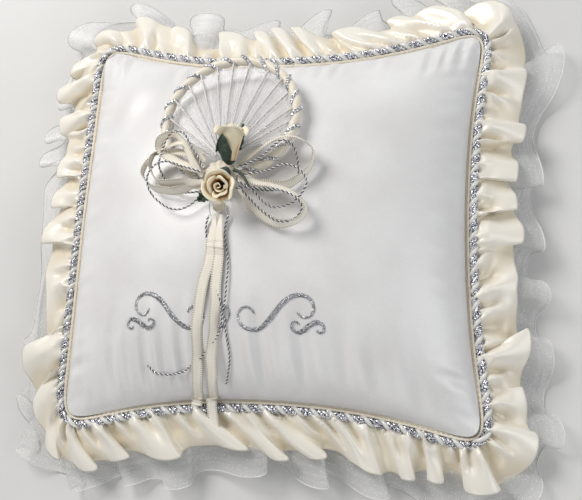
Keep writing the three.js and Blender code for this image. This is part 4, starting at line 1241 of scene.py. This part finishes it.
def make_tail_knot():
    low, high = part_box("tail_knot")
    centre, half = (low + high) / 2, (high - low) / 2
    # Two ribbon wraps cross over a small core.
    t = np.linspace(0, TAU, 64, endpoint=False)
    parts = []
    for turn in (-0.45, 0.45):
        ring = np.stack([np.zeros_like(t), 0.86 * half.y * np.cos(t), 0.80 * half.z * np.sin(t)], -1)
        c, s = math.cos(turn), math.sin(turn)
        spin = np.array([[c, -s, 0], [s, c, 0], [0, 0, 1]])
        wide = 0.0052
        rows = []
        for k in np.linspace(-1, 1, 9):
            scale = math.sqrt(max(0.0, 1 - 0.5 * k * k))
            row = ring * [1, scale, scale] + [k * wide / 2, 0, 0]
            rows.append(row @ spin.T + np.array(centre))
        grid = np.stack(rows, 1)
        parts.append((grid.reshape(-1, 3), grid_faces(64, 9, ring_rows=True)))
    points, faces = join(parts)
    uv = np.stack([points[:, 0], points[:, 1]], -1)
    knot = new_object("tail_knot_wraps", points, faces, KNOT_RIBBON, uv)
    thicken(knot, 0.0003, -1)
    place(knot, "pillow", "ribbon", "tail_knot")
    for node, x in (("tack_stitch_left", -0.0234), ("tack_stitch_right", -0.0146)):
        angle = np.linspace(0, math.pi, 60)
        arch = np.stack([np.full(60, x), -0.004 + 0.005 * np.cos(angle), 0.0754 + 0.0049 * np.sin(angle)], -1)
        points, faces = join(twisted(arch, 2, 0.00014, 0.00018, 0.0016, 6))
        place(new_object(node + "_thread", points, faces, THREAD), "pillow", "thread", node)


# ------------------------------------------------------------------ hoop and fan

HOOP_R, HOOP_WRAP_R = 0.038, 0.0024
HOOP_MATRIX = (Matrix.Translation((-0.018, 0.0485, 0.073))
               @ Matrix.Rotation(math.radians(-10), 4, "X") @ Matrix.Rotation(math.radians(-3), 4, "Y"))
WINDING_TURNS = 22
WINDING_LIE = 0.48  # how far the turns lie along the hoop on its face, and steeper behind it


def moved(points, matrix):
    m = np.array(matrix)
    return np.asarray(points) @ m[:3, :3].T + m[:3, 3]


def make_hoop():
    """Ribbon and silver cord are wound on together, so the ribbon puffs up between the turns."""
    count, sides = 1320, 24
    theta = np.arange(count)[:, None] / count * TAU
    around = np.arange(sides)[None] / sides * TAU
    steady = np.linspace(0, TAU, 400)
    lap = ((np.interp(around, steady + WINDING_LIE * np.sin(steady), steady)
            - WINDING_TURNS * theta) / TAU) % 1
    puff = np.sin(math.pi * lap) ** 0.45
    crease = np.exp(-((lap - 0.62) / 0.035) ** 2)  # the ribbon's free edge
    r = HOOP_WRAP_R - 0.00075 + 0.00115 * puff - 0.00010 * crease
    r = r + 0.00010 * np.sin(7 * theta + 1) * np.sin(around * 2)
    ring_r = HOOP_R - r * np.sin(around)
    points = np.stack([ring_r * np.sin(theta), -ring_r * np.cos(theta),
                       np.broadcast_to(-r * np.cos(around), ring_r.shape)], -1)
    uv = np.stack([np.broadcast_to(theta * HOOP_R, lap.shape), np.broadcast_to(lap * 0.006, lap.shape)], -1)
    faces = [f[::-1] for f in grid_faces(count, sides, ring_rows=True, ring_columns=True)]
    wrap = new_object("hoop_wound_ribbon", moved(points.reshape(-1, 3), HOOP_MATRIX), faces,
                      WRAP_RIBBON, uv.reshape(-1, 2))
    place(wrap, "spray", "ribbon", "hoop_ribbon_wrap")
    turns = np.linspace(0.008, 0.992, WINDING_TURNS * 60)
    wind = TAU * WINDING_TURNS * turns
    wind = wind + WINDING_LIE * np.sin(wind)
    r = HOOP_WRAP_R + 0.00008
    ring_r = HOOP_R - r * np.sin(wind)
    line = np.stack([ring_r * np.sin(TAU * turns), -ring_r * np.cos(TAU * turns), -r * np.cos(wind)], -1)
    line = moved(spaced(line, 0.00026), HOOP_MATRIX)
    points, faces = join(twisted(line, 2, 0.00052, 0.00066, 0.0028, 7))
    place(new_object("hoop_silver_cord", points, faces, BRIGHT_SILVER), "spray", "silver_cord",
          "hoop_silver_winding")
    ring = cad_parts["hoop_ring"]
    ring.data.materials.clear()
    ring.data.materials.append(wood_look())


def make_fan():
    """A pleated sheer sheet: flat panels between narrow standing folds, scalloped at the rim."""
    ribs, arc = 14, 1.02
    foot = np.array([0, -0.029, 0.0018])
    count, rows = ribs * 40, 40
    u = np.linspace(0, 1, count + 1)
    v = np.linspace(0, 1, rows + 1)
    U, V = np.meshgrid(u, v, indexing="ij")
    uneven = U + 0.10 / ribs * np.sin(TAU * 2.3 * U + 1) + 0.06 / ribs * np.sin(TAU * 5.1 * U)
    angle = arc + (TAU - 2 * arc) * uneven
    cell = (U * ribs) % 1
    near_rib = np.minimum(cell, 1 - cell) * 2  # 0 on a rib, 1 in the middle of a panel
    rim_r = HOOP_R - 0.0028 - 0.0026 * (1 - (1 - near_rib) ** 2) + 0.0004 * np.sin(9 * angle)
    rim = np.stack([rim_r * np.sin(angle), -rim_r * np.cos(angle), np.zeros_like(angle)], -1)
    reach = (0.05 + 0.95 * V)[..., None]
    p = foot + (rim - foot) * reach
    width = 0.055 + 0.11 * (1 - V) ** 1.5
    fold = np.exp(-(near_rib / width) ** 2)
    streak = wave_sum(301, 8, 30, 90)(U)
    height = 0.0021 * fold * (0.30 + 0.70 * V) + 0.0005 * near_rib * V
    height += 0.0005 * streak * (1 - V) ** 1.5
    p[..., 2] += 0.0002 + height + 0.0012 * np.sin(math.pi * V)
    side = np.where(cell < 0.5, cell, cell - 1) * 2
    pinch_in = -0.35 * side * np.exp(-(side / 0.16) ** 2) * 0.0045 * V  # both walls of a fold lean in
    lean = 0.0007 * fold * V + pinch_in
    p[..., 0] += lean * np.cos(angle)
    p[..., 1] += lean * np.sin(angle)
    uv = np.stack([V * 0.06, U * 0.17], -1).reshape(-1, 2)
    fan = new_object("fan_pleated", moved(p.reshape(-1, 3), HOOP_MATRIX),
                     grid_faces(count + 1, rows + 1), FAN_FILM, uv)
    cover = np.clip(fold + 0.75 * (1 - V) ** 1.6 * (0.6 + 0.4 * streak) + 0.2 * (V > 0.97), 0, 1)
    set_value(fan, "cover", cover.ravel())
    place(fan, "spray", "organza", "fan_pleats")
    # A thin dark silver-grey line laid in each fold is painted shadow of the fold; a pale ribbon thread lies
    # beside it.
    for name, offset, radius, look in (("fan_fold_shadow_lines", -0.00042, 0.00015, FOLD_SHADOW_LINE),
                                       ("fan_rib_cords", 0.00014, 0.00054, RIB_THREAD)):
        parts = []
        for k in range(ribs + 1):
            i = min(k * 40, count)
            line = p[i, 4:].copy()
            line[:, 0] += offset * np.cos(angle[i, 4:])
            line[:, 1] += offset * np.sin(angle[i, 4:])
            line[:, 2] += 0.0001
            taper = radius * (0.30 + 0.70 * V[i, 4:] ** 1.5)
            parts.append(tube_mesh(moved(line, HOOP_MATRIX), taper, 6))
        points, faces = join(parts)
        place(new_object(name, points, faces, look), "spray", "organza")
    # Bright edges of the cloth bunch up towards the foot, between the folds.
    rng = np.random.default_rng(17)
    parts = []
    for k in range(46):
        i = int(rng.uniform(0.01, 0.99) * count)
        far = int(rows * rng.uniform(0.45, 0.85))
        line = p[i, 3:far].copy()
        line[:, 2] += 0.00015
        parts.append(tube_mesh(moved(line, HOOP_MATRIX), np.linspace(0.00034, 0.00008, len(line)), 5))
    points, faces = join(parts)
    place(new_object("fan_foot_streaks", points, faces, FOOT_STREAKS), "spray", "organza")
    # A fine bright thread finishes the scalloped rim.
    rim_line = moved(p[:, -1], HOOP_MATRIX)
    points, faces = tube_mesh(rim_line, 0.00020, 5)
    rim_thread = new_object("fan_rim_thread", points, faces, HEM)
    place(rim_thread, "spray", "organza")


# ------------------------------------------------------------------ bow centre and flowers


def make_bow_centre():
    """The gathered middle of the bow: ribbon strands pulled in and crossing over one another."""
    low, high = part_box("bow_centre")
    centre = np.array((low + high) / 2)
    rx, ry = (high.x - low.x) / 2, (high.y - low.y) / 2
    rows, sides = 60, 40
    a = np.arange(sides) / sides * TAU
    grid = []
    for s in np.linspace(-1, 1, rows):
        ring = math.sqrt(max(0.0, 1 - s * s))
        pleat = 1 + 0.05 * np.cos(11 * a + 3 * s)
        grid.append(np.stack([rx * ring * np.cos(a) * pleat, ry * ring * np.sin(a) * pleat,
                              0.0019 * s + 0.0004 * np.cos(11 * a) * ring], -1))
    points = (np.array(grid) + centre).reshape(-1, 3)
    faces = grid_faces(rows, sides, ring_columns=True)
    gathers = new_object("bow_centre_gathers", points, faces, KNOT_RIBBON, points[:, :2].copy())
    place(gathers, "spray", "ribbon", "bow_centre")


def flower_matrix(base, axis):
    turn = Vector((0, 1, 0)).rotation_difference(Vector(axis).normalized())
    return Matrix.Translation(base) @ turn.to_matrix().to_4x4()


def set_value(obj, name, values):
    """A number for each point, which the materials read by its name."""
    layer = obj.data.attributes.new(name, "FLOAT", "POINT")
    layer.data.foreach_set("value", np.asarray(values, np.float32))


def make_petal(name, node, matrix, angle, span, foot, belly, rim, height, lift, seed,
               look=None, curl=0.6, point=0.22, slot="paper_rose", thick=0.00035, painted_shading=(0.08, 1.0), fade=2.2):
    """A piece of a cup whose rim rolls outwards, with a soft unevenness of its own."""
    look = look or PETAL
    nu, nv = 30, 26
    u, v = np.meshgrid(np.linspace(0, 1, nu + 1), np.linspace(0, 1, nv + 1), indexing="ij")
    wave = wave_sum(seed, 3, 1, 2)
    a = angle + span * (u - 0.5) * (1 - 0.12 * v ** 3)
    side = 2 * u - 1
    r = foot + (belly - foot) * np.sin(np.minimum(v, 1) * 1.35) + (rim - belly) * v ** 4
    r = r + 0.00045 * wave(u * 0.9 + 0.15 * v) * v
    roll = np.clip((v - 0.80) / 0.20, 0, 1)
    bend = roll ** 1.4 * curl * math.pi
    edge = 0.0011  # radius of the rolled rim
    h = height * np.minimum(v, 0.80 + 0 * v) * (1 - point * side ** 2 * v)
    h = h + 0.00035 * wave(u * 0.8 + 0.4) * v
    top = v > 0.80
    r = r + np.where(top, edge * (1 - np.cos(bend)), 0)
    h = h + np.where(top, edge * np.sin(bend) + height * 0.04 * roll, 0)
    points = np.stack([r * np.sin(a), 0.0004 + lift + h, r * np.cos(a)], -1)
    uv = np.stack([u * span * belly, v * height], -1).reshape(-1, 2)
    petal = new_object(name, moved(points.reshape(-1, 3), matrix), grid_faces(nu + 1, nv + 1), look, uv)
    # Painted shade: darker towards the petal's foot and along its sides below the rolled rim, where petals
    # tuck under one another.
    depth = painted_shading[0] + (painted_shading[1] - painted_shading[0]) * v ** fade - 0.30 * np.abs(side) ** 5 * (1 - roll)
    set_value(petal, "painted_shading", depth.ravel())
    thicken(petal, thick)
    place(petal, "spray", slot, node)
    return petal


def make_spiral_heart(name, node, matrix, r0, r1, turns, bottom, height, lean):
    """The rolled heart of a rose: one strip wound in a spiral, its rim turned out."""
    nu, nv = 150, 18
    u, v = np.meshgrid(np.linspace(0, 1, nu + 1), np.linspace(0, 1, nv + 1), indexing="ij")
    a = TAU * turns * u
    flare = 0.0009 * np.clip((v - 0.75) / 0.25, 0, 1) ** 2 * (0.4 + 0.6 * u)
    r = r0 + (r1 - r0) * u ** 1.1
    r = r * (0.55 + 0.45 * np.sin(np.minimum(v, 0.85) * 1.6)) + flare
    h = bottom + (height - 0.0022 * u) * v + 0.0006 * np.sin(3 * a + 1) * v
    x, z = r * np.sin(a), r * np.cos(a)
    points = np.stack([x + lean[0] * v, h, z + lean[1] * v], -1)
    uv = np.stack([u * TAU * turns * (r0 + r1) / 2, v * height], -1).reshape(-1, 2)
    heart = new_object(name, moved(points.reshape(-1, 3), matrix), grid_faces(nu + 1, nv + 1), PETAL, uv)
    # Painted shade: darker towards the foot of the roll.
    set_value(heart, "painted_shading", (0.05 + 0.90 * v ** 2.4).ravel())
    thicken(heart, 0.00032)
    place(heart, "spray", "paper_rose", node)


def make_lathe(name, node, matrix, profile, look, slot, ridges=0, depth=0.0):
    profile = smooth_line([(r, h, 0) for r, h in profile], 0.0002)
    sides = 36
    a = np.arange(sides) / sides * TAU
    r = np.maximum(profile[:, :1], 1e-5) * (1 + depth * np.cos(ridges * a)[None])
    points = np.stack([r * np.sin(a), np.broadcast_to(profile[:, 1:2], r.shape), r * np.cos(a)], -1)
    uv = np.stack([np.broadcast_to(a * 0.003, r.shape), np.broadcast_to(profile[:, 1:2], r.shape)], -1)
    obj = new_object(name, moved(points.reshape(-1, 3), matrix), grid_faces(len(profile), sides,
                     ring_columns=True), look, uv.reshape(-1, 2))
    place(obj, "spray", slot, node)


def make_leaf(name, node, start, tip, width, seed):
    """A leaf with a midrib, a wavy edge and a drooping tip."""
    start, tip = Vector(start), Vector(tip)
    line = tip - start
    side = Vector((0, 0, 1)).cross(line).normalized()
    nu, nv = 14, 30
    u, v = np.meshgrid(np.linspace(-1, 1, nu + 1), np.linspace(0, 1, nv + 1), indexing="ij")
    wave = wave_sum(seed, 3, 2, 5)
    half = 0.0002 + width / 2 * np.sin(math.pi * np.minimum(0.985, 0.1 + 0.885 * v)) ** 0.8
    half = half * (1 + 0.06 * wave(v))
    points = (np.array(start) + v[..., None] * np.array(line) + (u * half)[..., None] * np.array(side))
    points[..., 2] += 0.0009 * np.abs(u) - 0.0004 * np.exp(-(u / 0.15) ** 2) + 0.0004 * wave(v + 0.2 * u)
    uv = np.stack([u * width / 2, v * line.length], -1).reshape(-1, 2)
    leaf = new_object(name, points.reshape(-1, 3), grid_faces(nu + 1, nv + 1), LEAF, uv)
    thicken(leaf, 0.0003)
    place(leaf, "spray", "leaf_green", node)


def make_rosebud():
    at = flower_matrix((-0.0115, 0.0154, 0.0889), (2, 20, 7.2))
    make_spiral_heart("bud_heart_roll", "bud_heart", at, 0.0006, 0.0044, 2.4, 0.003, 0.0185, (0, 0))
    for seed, (node, angle) in enumerate({"bud_petal_front": 0.2, "bud_petal_left": 4.4,
                                          "bud_petal_right": 2.3}.items()):
        make_petal(node + "_curled", node, at, angle, 2.3, 0.0030, 0.0064, 0.0073, 0.0205, 0.0016,
                   100 + seed, curl=0.75, point=0.30, painted_shading=(0.45, 1.0), fade=1.4)
    make_lathe("bud_calyx_cup", "bud_calyx", at, [(0, -.0006), (.0016, 0), (.0028, .0012), (.0031, .0018),
               (.0026, .0026), (.0014, .0028), (0, .0028)], LEAF, "leaf_green", 5, 0.08)
    make_petal("bud_sepal_leaf", "bud_sepal", at, 5.9, 1.7, 0.0036, 0.0074, 0.0076, 0.0150, 0.0012, 120,
               look=LEAF, curl=0.2, point=0.75, slot="leaf_green", thick=0.0004)
    make_leaf("bud_leaf_left_blade", "bud_leaf_left", (-.0150, .0215, .0812), (-.0148, .0400, .0830),
              0.0046, 5)
    make_leaf("bud_leaf_right_blade", "bud_leaf_right", (-.0088, .0260, .0814), (-.0072, .0402, .0830),
              0.0034, 6)


def make_open_rose():
    at = flower_matrix((-0.015, 0.0036, 0.0874), (0.05, -0.3, 0.95))
    make_spiral_heart("rose_heart_roll", "rose_heart", at, 0.0005, 0.0026, 1.3, 0.002, 0.0092, (0.0004, 0))
    whorls = [("rose_inner_petal", 0.0019, 0.0044, 0.0042, 0.0120, 0.3, 0.40),
              ("rose_outer_petal", 0.0028, 0.0070, 0.0074, 0.0104, 1.3, 0.45)]
    for name, foot, belly, rim, height, first, point in whorls:
        for k in range(3):
            node = f"{name}_{k + 1}"
            make_petal(node + "_curled", node, at, first + TAU * k / 3, 2.35, foot, belly, rim,
                       height, 0, 200 + 7 * k + len(name), curl=0.6, point=point, fade=3.4,
                       painted_shading=(0.04, 0.95 if k else 1.0))
    make_lathe("rose_calyx_cup", "rose_calyx", at, [(0, -.0009), (.0016, -.0007), (.0024, 0), (.0016, .0004),
               (0, .0005)], LEAF, "leaf_green", 5, 0.08)
    make_leaf("rose_leaf_blade", "rose_leaf", (-.0206, .0016, .0870), (-.0282, -.0036, .0852), 0.0065, 7)


def make_stem():
    """Dark tape wound over the flower stems, and the wire end that runs out beside the rose."""
    low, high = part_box("floral_tape_binding")
    centre = np.array((low + high) / 2)
    half = np.array((high - low) / 2)
    turns, count = 6, 420
    t = np.linspace(0, 1, count)
    a = TAU * turns * t
    y = np.cos(math.pi * t)
    ring = np.sqrt(np.maximum(0.12, 1 - 0.8 * y * y))
    line = centre + np.stack([half[0] * ring * 0.8 * np.cos(a), half[1] * 0.85 * y,
                              half[2] * ring * 0.8 * np.sin(a)], -1)
    points, faces = tube_mesh(line, 0.00062, 8)
    core_a = np.arange(24) / 24 * TAU
    rows = np.linspace(-1, 1, 14)
    core = np.array([[centre + half * [0.72 * math.sqrt(max(0.02, 1 - r * r)) * math.cos(q), 0.9 * r,
                     0.72 * math.sqrt(max(0.02, 1 - r * r)) * math.sin(q)] for q in core_a] for r in rows])
    points, faces = join([(points, faces), (core.reshape(-1, 3), grid_faces(14, 24, ring_columns=True))])
    place(new_object("floral_tape_turns", points, faces, FLORAL_TAPE, points[:, :2]), "spray", "leaf_green",
          "floral_tape_binding")
    route = [(-.0088, .0122, .0889), (-.0055, .0108, .0896), (-.0026, .0075, .0900), (.0004, .0026, .0895)]
    line = smooth_line(route, 0.0002)
    share = np.linspace(0, 1, len(line))
    wind = 1 + 0.10 * np.sin(TAU * share * 9)
    points, faces = tube_mesh(line, 0.0010 * (1 - 0.35 * share) * wind, 12)
    place(new_object("rose_stem_taped", points, faces, FLORAL_TAPE, points[:, :2]), "spray", "leaf_green",
          "rose_stem_wire")


# ------------------------------------------------------------------ the scene

make_camera()
make_loops()
face_points, face_faces = make_front_panel()
face = Face(face_points, face_faces)
make_tails(face)
make_back_panel()
make_filling()
make_tape()
make_edge_cord()
make_satin_ruffle()
make_organza_ruffle()
make_embroidery(face)
make_tail_knot()
make_hoop()
make_fan()
make_bow_centre()
make_rosebud()
make_open_rose()
make_stem()

floor = new_object("floor", [(-3, -3, 0), (3, -3, 0), (3, 3, 0), (-3, 3, 0)], [(0, 1, 2, 3)], floor_look())
make_studio()
